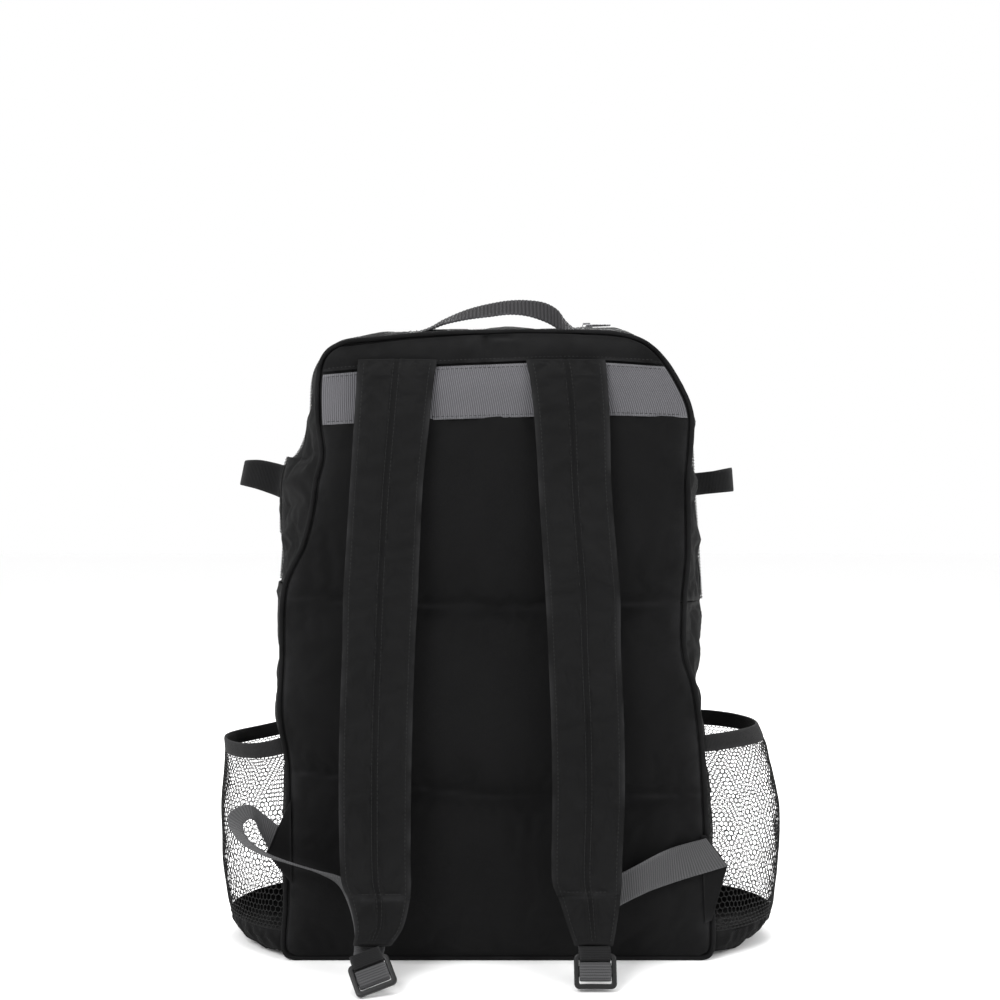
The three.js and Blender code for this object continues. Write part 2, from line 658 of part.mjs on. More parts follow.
// Bat pockets: the columns are the height, and the share of pocketBulge at that height.
const pocketRows = [
  { height: 0.068, left: 0.03, right: 0.03 },
  { height: 0.045, left: 0.5, right: 0.55 },
  { height: 0.055, left: 0.9, right: 0.98 },
  { height: 0.085, left: 0.98, right: 1.08 },
  { height: 0.125, left: 1, right: 1.12 },
  { height: 0.42, left: 1.05, right: 1.17 },
  { height: 0.7, left: 1.07, right: 1.12 },
  { height: 0.93, left: 1, right: 0.95 },
  { height: 1, left: 0.98, right: 0.86 },
];
const pocketProfile = Object.fromEntries(['left', 'right'].map((side) =>
  [side, new THREE.CatmullRomCurve3(pocketRows.map((row) =>
    new THREE.Vector3(row[side] * pocketBulge, 0, row.height * pocketHeight)))]));
// How far the opening sinks at its outer side.
const pocketDroop = { left: 12, right: 0 };
// u runs from the back seam to the pocket's front end, v up its profile.
function pocketSurface(side, u, v) {
  const profile = pocketProfile[side].getPoint(v);
  const swell = profile.x * Math.sin(Math.PI * THREE.MathUtils.clamp(u, 0, 1)) ** 0.6;
  const depth = lerp(pocketBack, pocketFront, u);
  const t = atHeight(sides[side], profile.z);
  const point = shellPoint(t, depth, 3 * seamGap + swell);
  const share = Math.min(1, swell / pocketBulge);
  point.z = lerp(point.z, profile.z, share)
    - pocketDroop[side] * share * (profile.z / pocketHeight) ** 2;
  return point;
}
function pocketPlace(side) {
  const step = 0.004;
  return (u, v, outward) => {
    const u0 = THREE.MathUtils.clamp(u, step, 1 - step);
    const v0 = THREE.MathUtils.clamp(v, step, 1 - step);
    const across = pocketSurface(side, u0 + step, v0).sub(pocketSurface(side, u0 - step, v0));
    const up = pocketSurface(side, u0, v0 + step).sub(pocketSurface(side, u0, v0 - step));
    const normal = across.cross(up).normalize().multiplyScalar(-sides[side].sign);
    normal.y *= u === 0 || u === 1 ? 0.2 : 1;
    return pocketSurface(side, u, v).addScaledVector(normal, outward);
  };
}

// A wall of net: each cell of the grid has a diamond gap through it.
function netWall(place, us, vs, thickness, gapShare) {
  const points = [];
  const triangles = [];
  const quad = (a, b, c, d) => triangles.push([a, b, c], [a, c, d]);
  const layer = (outward) => {
    const grid = us.map((u) => vs.map((v) => points.push(place(u, v, outward)) - 1));
    const gaps = [];
    for (let i = 0; i + 1 < us.length; i++) {
      for (let j = 0; j + 1 < vs.length; j++) {
        const u = (us[i] + us[i + 1]) / 2;
        const v = (vs[j] + vs[j + 1]) / 2;
        const du = ((us[i + 1] - us[i]) * gapShare) / 2;
        const dv = ((vs[j + 1] - vs[j]) * gapShare) / 2;
        const corners = [[u, v - dv], [u + du, v], [u, v + dv], [u - du, v]];
        gaps.push(corners.map(([a, b]) => points.push(place(a, b, outward)) - 1));
      }
    }
    return { grid, gaps };
  };
  const inner = layer(0);
  const outer = layer(thickness);
  let cell = 0;
  for (let i = 0; i + 1 < us.length; i++) {
    for (let j = 0; j + 1 < vs.length; j++) {
      for (const side of [inner, outer]) {
        const frame = [side.grid[i][j], side.grid[i + 1][j],
          side.grid[i + 1][j + 1], side.grid[i][j + 1]];
        const gap = side.gaps[cell];
        for (let k = 0; k < 4; k++) {
          const faces = [[frame[k], frame[(k + 1) % 4], gap[k]], [gap[(k + 3) % 4], frame[k], gap[k]]];
          triangles.push(...(side === outer ? faces : faces.map(([a, b, c]) => [a, c, b])));
        }
      }
      for (let k = 0; k < 4; k++) {
        const next = (k + 1) % 4;
        quad(outer.gaps[cell][k], outer.gaps[cell][next], inner.gaps[cell][next],
          inner.gaps[cell][k]);
      }
      cell++;
    }
  }
  const rim = [
    ...us.map((_, i) => [i, 0]), ...vs.slice(1).map((_, j) => [us.length - 1, j + 1]),
    ...us.slice(1).map((_, i) => [us.length - 2 - i, vs.length - 1]),
    ...vs.slice(2).map((_, j) => [0, vs.length - 2 - j]),
  ];
  rim.forEach(([i, j], k) => {
    const [nextI, nextJ] = rim[(k + 1) % rim.length];
    quad(inner.grid[i][j], inner.grid[nextI][nextJ], outer.grid[nextI][nextJ], outer.grid[i][j]);
  });
  return solid(points, triangles);
}

const profileSteps = pocketRows.length - 1;
const baseTop = 4 / profileSteps;
const hemBottom = 7 / profileSteps;
const partGap = 0.004;        // of the profile's length, between the pocket's pieces
const pocketColumns = spread(0, 1, netColumns);
for (const side of ['left', 'right']) {
  const place = pocketPlace(side);
  addPiece(`pocket_base_${side}`,
    wall(place, pocketColumns, spread(0, baseTop, 6), 0, clothThickness), polyester);
  addPiece(`pocket_net_${side}`,
    netWall(place, pocketColumns, spread(baseTop + partGap, hemBottom - partGap, netRows),
      netThickness, netGapShare), netting);
  addPiece(`pocket_hem_${side}`,
    wall(place, pocketColumns, spread(hemBottom, 1, 2), 0, hemThickness), elastic);
}

// Zip slider on the coil, and its pull hinged on a pin under the slider's bridge. Both lie in
// a frame on the coil: x along the zip, z away from the bag.
const sliderLength = 11;
const sliderWidth = 5;
const sliderPlate = 1.4;
const bridgeReach = 4;        // middle of the slider to the outside of the bridge's posts
const bridgePost = 1;
const pinSize = 1.2;
const pinPlay = 0.6;
const pullWindow = 5.8;       // length of the pull's opening round the bridge
const railWidth = 1.6;
const bridgeBottom = sliderPlate + pinSize + 2 * pinPlay;
const bridgeTop = bridgeBottom + bridgePost;
const pinHeight = (sliderPlate + bridgeBottom) / 2;
const zipFrame = new THREE.Group();
// The slider lies on the straight run of coil between two rows of the seam.
const sliderRow = atReach(sliderReach) * rimRows.length;
const [runStart, runEnd] = [Math.floor(sliderRow), Math.ceil(sliderRow)].map((row) =>
  shellPoint(row / rimRows.length, zipPlace, coilTop + seamGap));
const zipHeading = runEnd.clone().sub(runStart);
zipFrame.position.copy(runStart.clone().lerp(runEnd, sliderRow % 1));
zipFrame.rotation.y = -Math.atan2(zipHeading.z, zipHeading.x);
bag.add(zipFrame);

function rectangle(Kind, left, bottom, right, top) {
  const outline = new Kind();
  outline.moveTo(left, bottom);
  outline.lineTo(right, bottom);
  outline.lineTo(right, top);
  outline.lineTo(left, top);
  outline.closePath();
  return outline;
}
const sliderOutline = new THREE.Shape([
  new THREE.Vector2(-sliderLength / 2, 0),
  new THREE.Vector2(sliderLength / 2, 0),
  new THREE.Vector2(sliderLength / 2, sliderPlate),
  new THREE.Vector2(bridgeReach, sliderPlate),
  new THREE.Vector2(bridgeReach * 0.85, bridgeTop),
  new THREE.Vector2(-bridgeReach * 0.85, bridgeTop),
  new THREE.Vector2(-bridgeReach, sliderPlate),
  new THREE.Vector2(-sliderLength / 2, sliderPlate),
]);
sliderOutline.holes = [rectangle(THREE.Path, bridgePost - bridgeReach, sliderPlate + 0.01,
  bridgeReach - bridgePost, bridgeBottom)];
addPiece('zip_slider',
  new THREE.ExtrudeGeometry(sliderOutline, { depth: sliderWidth, bevelEnabled: false })
    .rotateX(Math.PI / 2).translate(0, sliderWidth / 2, 0), steel, zipFrame);

const headWidth = sliderWidth + 2 * (seamGap + 0.1 + railWidth);
const windowEnd = pinSize / 2 + pullWindow;
const pullOutline = new THREE.Shape();
pullOutline.moveTo(-pinSize / 2, -headWidth / 2);
pullOutline.lineTo(windowEnd + railWidth, -headWidth / 2);
pullOutline.lineTo(pullLength - pullWidth / 2, -pullWidth / 2);
pullOutline.absarc(pullLength - pullWidth / 2, 0, pullWidth / 2, -Math.PI / 2, Math.PI / 2);
pullOutline.lineTo(windowEnd + railWidth, headWidth / 2);
pullOutline.lineTo(-pinSize / 2, headWidth / 2);
pullOutline.closePath();
pullOutline.holes = [rectangle(THREE.Path, pinSize / 2, railWidth - headWidth / 2,
  windowEnd, headWidth / 2 - railWidth)];
const pull = addPiece('zip_pull',
  new THREE.ExtrudeGeometry(pullOutline, { depth: pullThickness, bevelEnabled: false,
    curveSegments: 5 }).translate(0, 0, -pullThickness / 2), steel, zipFrame);
pull.position.z = pinHeight;

// The origin is under the middle of everything, on the ground.
bag.updateMatrixWorld(true);
const extent = new THREE.Box3().setFromObject(bag);
bag.position.set(-(extent.min.x + extent.max.x) / 2, -(extent.min.y + extent.max.y) / 2,
  -extent.min.z);
bag.updateMatrixWorld(true);

export default bag;
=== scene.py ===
import math

import bmesh
import bpy
import numpy as np
from mathutils import Matrix, Vector, noise


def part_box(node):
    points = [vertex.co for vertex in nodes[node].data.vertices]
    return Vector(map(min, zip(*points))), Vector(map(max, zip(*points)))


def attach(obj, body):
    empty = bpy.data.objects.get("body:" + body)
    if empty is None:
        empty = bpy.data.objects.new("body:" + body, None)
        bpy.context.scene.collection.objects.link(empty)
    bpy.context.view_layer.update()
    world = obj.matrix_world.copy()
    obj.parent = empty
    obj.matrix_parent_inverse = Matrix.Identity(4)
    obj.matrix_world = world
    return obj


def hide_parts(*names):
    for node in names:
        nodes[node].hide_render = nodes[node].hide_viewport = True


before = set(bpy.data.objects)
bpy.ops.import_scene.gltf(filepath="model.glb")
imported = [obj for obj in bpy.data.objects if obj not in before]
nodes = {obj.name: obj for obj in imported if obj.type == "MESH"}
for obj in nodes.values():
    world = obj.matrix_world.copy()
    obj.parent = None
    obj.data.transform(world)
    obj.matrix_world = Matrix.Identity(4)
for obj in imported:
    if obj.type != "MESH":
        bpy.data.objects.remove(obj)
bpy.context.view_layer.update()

# The bag is laid out in millimetres about the middle of its base, as its solids are.
baseLow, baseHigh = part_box("base_panel")
bagOrigin = np.array([(baseLow.x + baseHigh.x) / 2, (baseLow.y + baseHigh.y) / 2, 0.0])


def inMetres(points):
    return np.asarray(points, float) / 1000 + bagOrigin


# Camera, light and floor
cameraSetup = {"x": 1.7, "y": -1300, "z": 391, "lens": 50.8, "sensor": 36}
studio = {
    "floor": (0.985, 0.985, 0.985), "world": (1.0, 1.0, 1.0), "worldStrength": 1.0,
    # name: place, aimed at, size, watts
    "lamps": {
        "keyLamp": ((-900, -1500, 1500), (0, -60, 300), 900, 34),
        "fillLamp": ((1300, -1200, 900), (0, -60, 250), 1000, 15),
        "topLamp": ((0, 100, 1900), (0, 0, 300), 1100, 22),
        "rearLamp": ((300, 1500, 1100), (0, 60, 300), 900, 18),
    },
}


def aimed(place, target):
    return (Vector(target) - Vector(place)).to_track_quat("-Z", "Y").to_euler()


def makeStudio():
    scene = bpy.context.scene
    camera = bpy.data.objects.new("camera", bpy.data.cameras.new("camera"))
    camera.data.lens = cameraSetup["lens"]
    camera.data.sensor_width = cameraSetup["sensor"]
    camera.data.sensor_fit = "HORIZONTAL"
    camera.location = inMetres([cameraSetup[axis] for axis in "xyz"])
    camera.rotation_euler = (math.pi / 2, 0, 0)
    scene.collection.objects.link(camera)
    scene.camera = camera
    for name, (place, target, size, watts) in studio["lamps"].items():
        lamp = bpy.data.lights.new(name, "AREA")
        lamp.size = size / 1000
        lamp.energy = watts
        holder = bpy.data.objects.new(name, lamp)
        holder.location = inMetres(place)
        holder.rotation_euler = aimed(inMetres(place), inMetres(target))
        scene.collection.objects.link(holder)
    world = bpy.data.worlds.new("studioAir")
    world.use_nodes = True
    sky = world.node_tree.nodes["Background"]
    sky.inputs["Color"].default_value = (*studio["world"], 1)
    sky.inputs["Strength"].default_value = studio["worldStrength"]
    scene.world = world
    scene.view_settings.view_transform = "Standard"
    floor = bpy.data.meshes.new("floor")
    reach = 9
    floor.from_pydata([(-reach, -reach, 0), (reach, -reach, 0), (reach, reach, 0), (-reach, reach, 0)],
                      [], [(0, 1, 2, 3)])
    floorPiece = bpy.data.objects.new("floor", floor)
    scene.collection.objects.link(floorPiece)
    paint = bpy.data.materials.new("paleFloor")
    paint.use_nodes = True
    shader = paint.node_tree.nodes["Principled BSDF"]
    shader.inputs["Base Color"].default_value = (*studio["floor"], 1)
    shader.inputs["Roughness"].default_value = 0.8
    floor.materials.append(paint)


makeStudio()
print("studio ready")

# Node groups that the materials share
def nodeGroup(name, inputs, outputs):
    tree = bpy.data.node_groups.new(name, "ShaderNodeTree")
    for label, kind, value in inputs:
        socket = tree.interface.new_socket(label, in_out="INPUT", socket_type="NodeSocket" + kind)
        if value is not None:
            socket.default_value = value
    for label, kind in outputs:
        tree.interface.new_socket(label, in_out="OUTPUT", socket_type="NodeSocket" + kind)
    return tree, tree.nodes.new("NodeGroupInput"), tree.nodes.new("NodeGroupOutput")


class Wiring:
    # Short calls for adding and joining nodes in one tree.
    def __init__(self, tree):
        self.tree = tree

    def add(self, kind, **inputs):
        made = self.tree.nodes.new("ShaderNode" + kind)
        for key, value in inputs.items():
            self.feed(value, made.inputs[int(key[1:]) if key[0] == "_" else key])
        return made

    def feed(self, value, socket):
        if isinstance(value, bpy.types.NodeSocket):
            self.tree.links.new(value, socket)
        else:
            socket.default_value = value

    def math(self, operation, first, second=0.0, third=0.0):
        made = self.add("Math", _0=first, _1=second, _2=third)
        made.operation = operation
        return made.outputs[0]

    def vector(self, operation, first, second=(0, 0, 0)):
        made = self.add("VectorMath", _0=first, _1=second)
        made.operation = operation
        return made.outputs[0]

    def scaled(self, vector, amount):
        made = self.add("VectorMath", _0=vector)
        made.operation = "SCALE"
        self.feed(amount, made.inputs["Scale"])
        return made.outputs[0]

    def noise(self, vector, scale, detail=3.0, roughness=0.5):
        made = self.add("TexNoise", Vector=vector, Scale=scale, Detail=detail, Roughness=roughness)
        return made.outputs["Fac"]

    def ramp(self, value, low, high, fromLow=0.0, fromHigh=1.0):
        made = self.add("MapRange", Value=value)
        for label, number in (("From Min", fromLow), ("From Max", fromHigh), ("To Min", low),
                              ("To Max", high)):
            self.feed(number, made.inputs[label])
        return made.outputs[0]

    def mixColor(self, share, first, second):
        made = self.tree.nodes.new("ShaderNodeMix")
        made.data_type = "RGBA"
        self.feed(share, made.inputs[0])
        self.feed(first, made.inputs[6])
        self.feed(second, made.inputs[7])
        return made.outputs[2]

    def group(self, tree, **inputs):
        made = self.tree.nodes.new("ShaderNodeGroup")
        made.node_tree = tree
        for key, value in inputs.items():
            self.feed(value, made.inputs[key])
        return made.outputs


def makeWeaveGroup():
    # Plain weave: warp and weft threads pass over each other in turn. The thread output is painted light and
    # shade for the colour, lighter on the crests and darker in the grooves between threads; Shade darkens
    # the cells where the weft lies on top.
    tree, source, sink = nodeGroup("plainWeave", [
        ("Place", "Vector", None), ("Pitch", "Float", 0.0009), ("Slub", "Float", 0.35)],
        [("Height", "Float"), ("Thread", "Float"), ("Shade", "Float")])
    w = Wiring(tree)
    place = source.outputs["Place"]
    wobble = w.noise(place, 260.0, 2.0)
    shifted = w.vector("ADD", place, w.scaled(
        w.vector("SUBTRACT", w.add("TexNoise", Vector=place, Scale=60.0).outputs["Color"],
                 (0.5, 0.5, 0.5)), 0.0005))
    turns = w.scaled(shifted, w.math("DIVIDE", math.pi, source.outputs["Pitch"]))
    parts = w.add("SeparateXYZ", Vector=turns)
    across = w.math("SINE", parts.outputs["X"])
    along = w.math("SINE", parts.outputs["Y"])
    warp = w.math("ABSOLUTE", across)
    weft = w.math("ABSOLUTE", along)
    over = w.math("GREATER_THAN", w.math("MULTIPLY", across, along), 0.0)
    height = w.math("ADD", w.math("MULTIPLY", over, warp),
                    w.math("MULTIPLY", w.math("SUBTRACT", 1.0, over), weft))
    # painted light and shade: lighter on the thread crests, darker in the grooves
    thread = w.math("POWER", height, 0.6)
    slub = w.math("MULTIPLY", w.math("SUBTRACT", wobble, 0.5), source.outputs["Slub"])
    links = tree.links
    links.new(w.math("ADD", thread, slub), sink.inputs["Height"])
    links.new(thread, sink.inputs["Thread"])
    links.new(w.ramp(over, 0.86, 1.0), sink.inputs["Shade"])
    return tree


def makeRibGroup():
    # Woven tape: ribs across its length, each crossed by fine threads. The rib and pick outputs also feed
    # the colour as painted shade, darker in the grooves between ribs and between the cross threads.
    tree, source, sink = nodeGroup("wovenRibs", [
        ("Place", "Vector", None), ("Pitch", "Float", 0.0019), ("Cross", "Float", 0.0011)],
        [("Height", "Float"), ("GrooveShade", "Float"), ("Pick", "Float")])
    w = Wiring(tree)
    parts = w.add("SeparateXYZ", Vector=source.outputs["Place"])
    drift = w.math("MULTIPLY", w.math("SUBTRACT", w.noise(source.outputs["Place"], 90.0), 0.5), 0.9)
    rib = w.math("ABSOLUTE", w.math("SINE", w.math("ADD", drift, w.math("MULTIPLY",
        parts.outputs["X"], w.math("DIVIDE", math.pi, source.outputs["Pitch"])))))
    stagger = w.math("MULTIPLY", w.math("ROUND", w.math("DIVIDE", parts.outputs["X"],
        source.outputs["Pitch"])), math.pi / 2)
    pick = w.math("ABSOLUTE", w.math("SINE", w.math("ADD", stagger, w.math("MULTIPLY",
        parts.outputs["Y"], w.math("DIVIDE", math.pi, source.outputs["Cross"])))))
    round_ = w.math("POWER", rib, 0.7)
    links = tree.links
    links.new(w.math("ADD", round_, w.math("MULTIPLY", pick, 0.35)), sink.inputs["Height"])
    links.new(round_, sink.inputs["GrooveShade"])
    links.new(pick, sink.inputs["Pick"])
    return tree


def makeWearGroup():
    # Rubbed edges and lint: Rub is the piece's own edge mask.
    tree, source, sink = nodeGroup("rubAndLint", [
        ("Color", "Color", (0.01, 0.01, 0.01, 1)), ("Rub", "Float", 0.0),
        ("RubColor", "Color", (0.05, 0.05, 0.05, 1)), ("Amount", "Float", 0.3),
        ("Lint", "Float", 0.12), ("Roughness", "Float", 0.75)],
        [("Color", "Color"), ("Roughness", "Float")])
    w = Wiring(tree)
    place = w.add("TexCoord").outputs["Object"]
    patch = w.ramp(w.noise(place, 28.0, 4.0, 0.6), 0.0, 1.0, 0.38, 0.62)
    rub = w.math("MULTIPLY", w.math("MULTIPLY", source.outputs["Rub"], patch),
                 source.outputs["Amount"])
    rubbed = w.mixColor(rub, source.outputs["Color"], source.outputs["RubColor"])
    specks = w.ramp(w.noise(place, 1500.0, 2.0, 0.7), 0.0, 1.0, 0.66, 0.74)
    dusty = w.math("MULTIPLY", w.math("MULTIPLY", specks, w.ramp(
        w.noise(place, 14.0), 0.0, 1.0, 0.42, 0.7)), source.outputs["Lint"])
    linted = w.mixColor(dusty, rubbed, (0.16, 0.155, 0.15, 1))
    links = tree.links
    links.new(linted, sink.inputs["Color"])
    links.new(w.math("ADD", source.outputs["Roughness"], w.math("MULTIPLY", w.math(
        "SUBTRACT", w.noise(place, 40.0, 4.0), 0.5), 0.16)), sink.inputs["Roughness"])
    return tree


def makeDyeAndWeaveShadeGroup():
    # Slow changes of depth of dye over a cloth, mixed with the painted light and shade of the weave: lighter
    # on the thread crests, darker in the grooves and where Shade is low.
    tree, source, sink = nodeGroup("dyeAndWeaveShade", [
        ("Dark", "Color", (0.01, 0.01, 0.01, 1)), ("Light", "Color", (0.02, 0.02, 0.02, 1)),
        ("Thread", "Float", 0.5), ("Shade", "Float", 1.0), ("Spread", "Float", 0.5)],
        [("Color", "Color")])
    w = Wiring(tree)
    place = w.add("TexCoord").outputs["Object"]
    slow = w.ramp(w.noise(place, 9.0, 3.0), 0.0, 1.0, 0.3, 0.7)
    share = w.math("ADD", w.math("MULTIPLY", source.outputs["Thread"], w.math(
        "SUBTRACT", 1.0, source.outputs["Spread"])), w.math(
        "MULTIPLY", slow, source.outputs["Spread"]))
    toned = w.mixColor(w.math("MULTIPLY", share, source.outputs["Shade"]),
                       source.outputs["Dark"], source.outputs["Light"])
    tree.links.new(toned, sink.inputs["Color"])
    return tree


weaveGroup = makeWeaveGroup()
ribGroup = makeRibGroup()
wearGroup = makeWearGroup()
dyeAndWeaveShadeGroup = makeDyeAndWeaveShadeGroup()


# Materials
def newMaterial(name, **sockets):
    material = bpy.data.materials.new(name)
    material.use_nodes = True
    shader = material.node_tree.nodes["Principled BSDF"]
    for label, value in sockets.items():
        shader.inputs[label.replace("_", " ")].default_value = value
    return material, Wiring(material.node_tree), shader


def bumpInto(wiring, shader, height, distance, strength=1.0):
    bump = wiring.add("Bump", Height=height, Strength=strength, Distance=distance)
    wiring.tree.links.new(bump.outputs["Normal"], shader.inputs["Normal"])
    return bump


def attributeOf(wiring, name, output="Vector"):
    made = wiring.tree.nodes.new("ShaderNodeAttribute")
    made.attribute_name = name
    return made.outputs[output]


def finishCloth(wiring, shader, settings, height, thread, shade):
    # the colour carries painted light and shade of the weave: thread lightens the crests and darkens the
    # grooves, shade darkens the cells where the weft lies on top
    toned = wiring.group(dyeAndWeaveShadeGroup, Dark=(*settings["dark"], 1), Light=(*settings["light"], 1),
                         Thread=thread, Shade=shade, Spread=settings["spread"])["Color"]
    worn = wiring.group(wearGroup, Color=toned, Rub=attributeOf(wiring, "rub", "Fac"),
                        RubColor=(*settings["rubbed"], 1), Amount=settings["rub"],
                        Lint=settings["lint"], Roughness=settings["roughness"])
    wiring.tree.links.new(worn["Color"], shader.inputs["Base Color"])
    wiring.tree.links.new(worn["Roughness"], shader.inputs["Roughness"])
    bumpInto(wiring, shader, height, settings["relief"])


def wovenMaterial(name, settings):
    material, w, shader = newMaterial(name, Sheen_Weight=settings["sheen"], Sheen_Roughness=0.45,
                                      Specular_IOR_Level=settings["specular"])
    weave = w.group(weaveGroup, Place=attributeOf(w, "clothPlace"), Pitch=settings["pitch"],
                    Slub=settings["slub"])
    finishCloth(w, shader, settings, weave["Height"], weave["Thread"], weave["Shade"])
    return material


def ribbedMaterial(name, settings):
    material, w, shader = newMaterial(name, Sheen_Weight=settings["sheen"], Sheen_Roughness=0.4,
                                      Specular_IOR_Level=settings["specular"])
    ribs = w.group(ribGroup, Place=attributeOf(w, "clothPlace"), Pitch=settings["pitch"],
                   Cross=settings["cross"])
    # painted shade: the colour is darker in the grooves between ribs and between the cross threads
    thread = w.math("MULTIPLY", ribs["GrooveShade"], w.ramp(ribs["Pick"], 0.62, 1.0))
    finishCloth(w, shader, settings, ribs["Height"], thread, 1.0)
    return material


def mouldedMaterial(name, settings):
    # Moulded plastic: fine spark-eroded grain, scuffs where the webbing rubs.
    material, w, shader = newMaterial(name, Specular_IOR_Level=0.25)
    place = w.add("TexCoord").outputs["Object"]
    grain = w.noise(place, settings["grain"], 5.0, 0.65)
    scuff = w.ramp(w.noise(w.vector("MULTIPLY", place, (900, 900, 120)), 1.0, 4.0, 0.7),
                   0.0, 1.0, 0.56, 0.7)
    color = w.mixColor(w.math("MULTIPLY", scuff, 0.35), (*settings["dark"], 1),
                       (*settings["light"], 1))
    worn = w.group(wearGroup, Color=color, Rub=scuff, RubColor=(*settings["light"], 1), Amount=0.2,
                   Lint=0.1, Roughness=settings["roughness"])
    w.tree.links.new(worn["Color"], shader.inputs["Base Color"])
    w.tree.links.new(w.math("ADD", worn["Roughness"], w.math("MULTIPLY", scuff, 0.12)),
                     shader.inputs["Roughness"])
    bumpInto(w, shader, grain, settings["relief"])
    return material


def metalMaterial(name, settings):
    # Plated zinc: fine rub marks, dull where the plating is thin.
    material, w, shader = newMaterial(name, Metallic=1.0)
    place = w.add("TexCoord").outputs["Object"]
    marks = w.noise(w.vector("MULTIPLY", place, (300, 2600, 2600)), 1.0, 4.0, 0.6)
    dull = w.ramp(w.noise(place, 420.0, 4.0), 0.0, 1.0, 0.5, 0.72)
    color = w.mixColor(w.math("MULTIPLY", dull, 0.6), (*settings["light"], 1),
                       (*settings["dark"], 1))
    w.tree.links.new(color, shader.inputs["Base Color"])
    w.tree.links.new(w.ramp(w.math("ADD", dull, marks), settings["smooth"], settings["dull"],
                            0.3, 1.5), shader.inputs["Roughness"])
    bumpInto(w, shader, marks, settings["relief"])
    return material


clothTones = {
    "polyester": {"dark": (0.0016, 0.0016, 0.0017), "light": (0.0062, 0.0062, 0.0064),
                  "rubbed": (0.026, 0.026, 0.027), "rub": 0.5, "lint": 0.05, "spread": 0.35,
                  "pitch": 0.00085, "slub": 0.5, "roughness": 0.66, "relief": 0.00022,
                  "sheen": 0.015, "specular": 0.045},
    "strapCloth": {"dark": (0.0019, 0.0019, 0.0020), "light": (0.0076, 0.0076, 0.0078),
                   "rubbed": (0.03, 0.03, 0.031), "rub": 0.6, "lint": 0.06, "spread": 0.35,
                   "pitch": 0.00085, "slub": 0.5, "roughness": 0.64, "relief": 0.00022,
                   "sheen": 0.015, "specular": 0.05},
}
tapeTones = {
    "blackElastic": {"dark": (0.0025, 0.0025, 0.0026), "light": (0.012, 0.012, 0.0125),
                     "rubbed": (0.035, 0.035, 0.036), "rub": 0.5, "lint": 0.08, "spread": 0.2,
                     "pitch": 0.0013, "cross": 0.0009, "roughness": 0.7, "relief": 0.0003,
                     "sheen": 0.03, "specular": 0.08},
    "greyWebbing": {"dark": (0.024, 0.024, 0.0265), "light": (0.104, 0.1025, 0.111),
                    "rubbed": (0.2, 0.2, 0.208), "rub": 0.5, "lint": 0.05, "spread": 0.15,
                    "pitch": 0.0018, "cross": 0.0012, "roughness": 0.68, "relief": 0.0005,
                    "sheen": 0.06, "specular": 0.2},
    "plainWebbing": {"dark": (0.015, 0.015, 0.016), "light": (0.055, 0.055, 0.057),
                     "rubbed": (0.12, 0.12, 0.125), "rub": 0.45, "lint": 0.05, "spread": 0.2,
                     "pitch": 0.0021, "cross": 0.0015, "roughness": 0.66, "relief": 0.00045,
                     "sheen": 0.05, "specular": 0.2},
    # handle: grey webbing with its tones darkened, painted shade for the shadow it lies in
    "handleWebbingPaintedShade": {"dark": (0.0028, 0.0027, 0.003), "light": (0.017, 0.0165, 0.0182),
                      "rubbed": (0.09, 0.089, 0.095), "rub": 0.5, "lint": 0.05, "spread": 0.2,
                      "pitch": 0.0033, "cross": 0.0016, "roughness": 0.66, "relief": 0.0005,
                      "sheen": 0.03, "specular": 0.1},
    "zipTape": {"dark": (0.0022, 0.0022, 0.0023), "light": (0.0075, 0.0075, 0.0078),
                "rubbed": (0.025, 0.025, 0.026), "rub": 0.3, "lint": 0.08, "spread": 0.2,
                "pitch": 0.0011, "cross": 0.0008, "roughness": 0.7, "relief": 0.0002,
                "sheen": 0.04, "specular": 0.14},
}
materials = {name: wovenMaterial(name, tones) for name, tones in clothTones.items()}
materials.update({name: ribbedMaterial(name, tones) for name, tones in tapeTones.items()})
mouldedTones = {
    "netCord": {"dark": (0.003, 0.003, 0.003), "light": (0.010, 0.010, 0.0105),
                "grain": 2600.0, "roughness": 0.62, "relief": 0.00008},
    "thread": {"dark": (0.0045, 0.0045, 0.0047), "light": (0.015, 0.015, 0.0155),
               "grain": 3000.0, "roughness": 0.5, "relief": 0.00006},
    "buckleBlack": {"dark": (0.004, 0.004, 0.0043), "light": (0.015, 0.015, 0.016),
                    "grain": 1600.0, "roughness": 0.36, "relief": 0.00006},
    "coilBlack": {"dark": (0.004, 0.004, 0.004), "light": (0.014, 0.014, 0.014),
                  "grain": 2400.0, "roughness": 0.4, "relief": 0.00004},
}
materials.update({name: mouldedMaterial(name, tones) for name, tones in mouldedTones.items()})
materials["platedZinc"] = metalMaterial("platedZinc", {
    "light": (0.24, 0.24, 0.25), "dark": (0.08, 0.079, 0.078), "smooth": 0.22, "dull": 0.48,
    "relief": 0.00005})
print("materials ready")

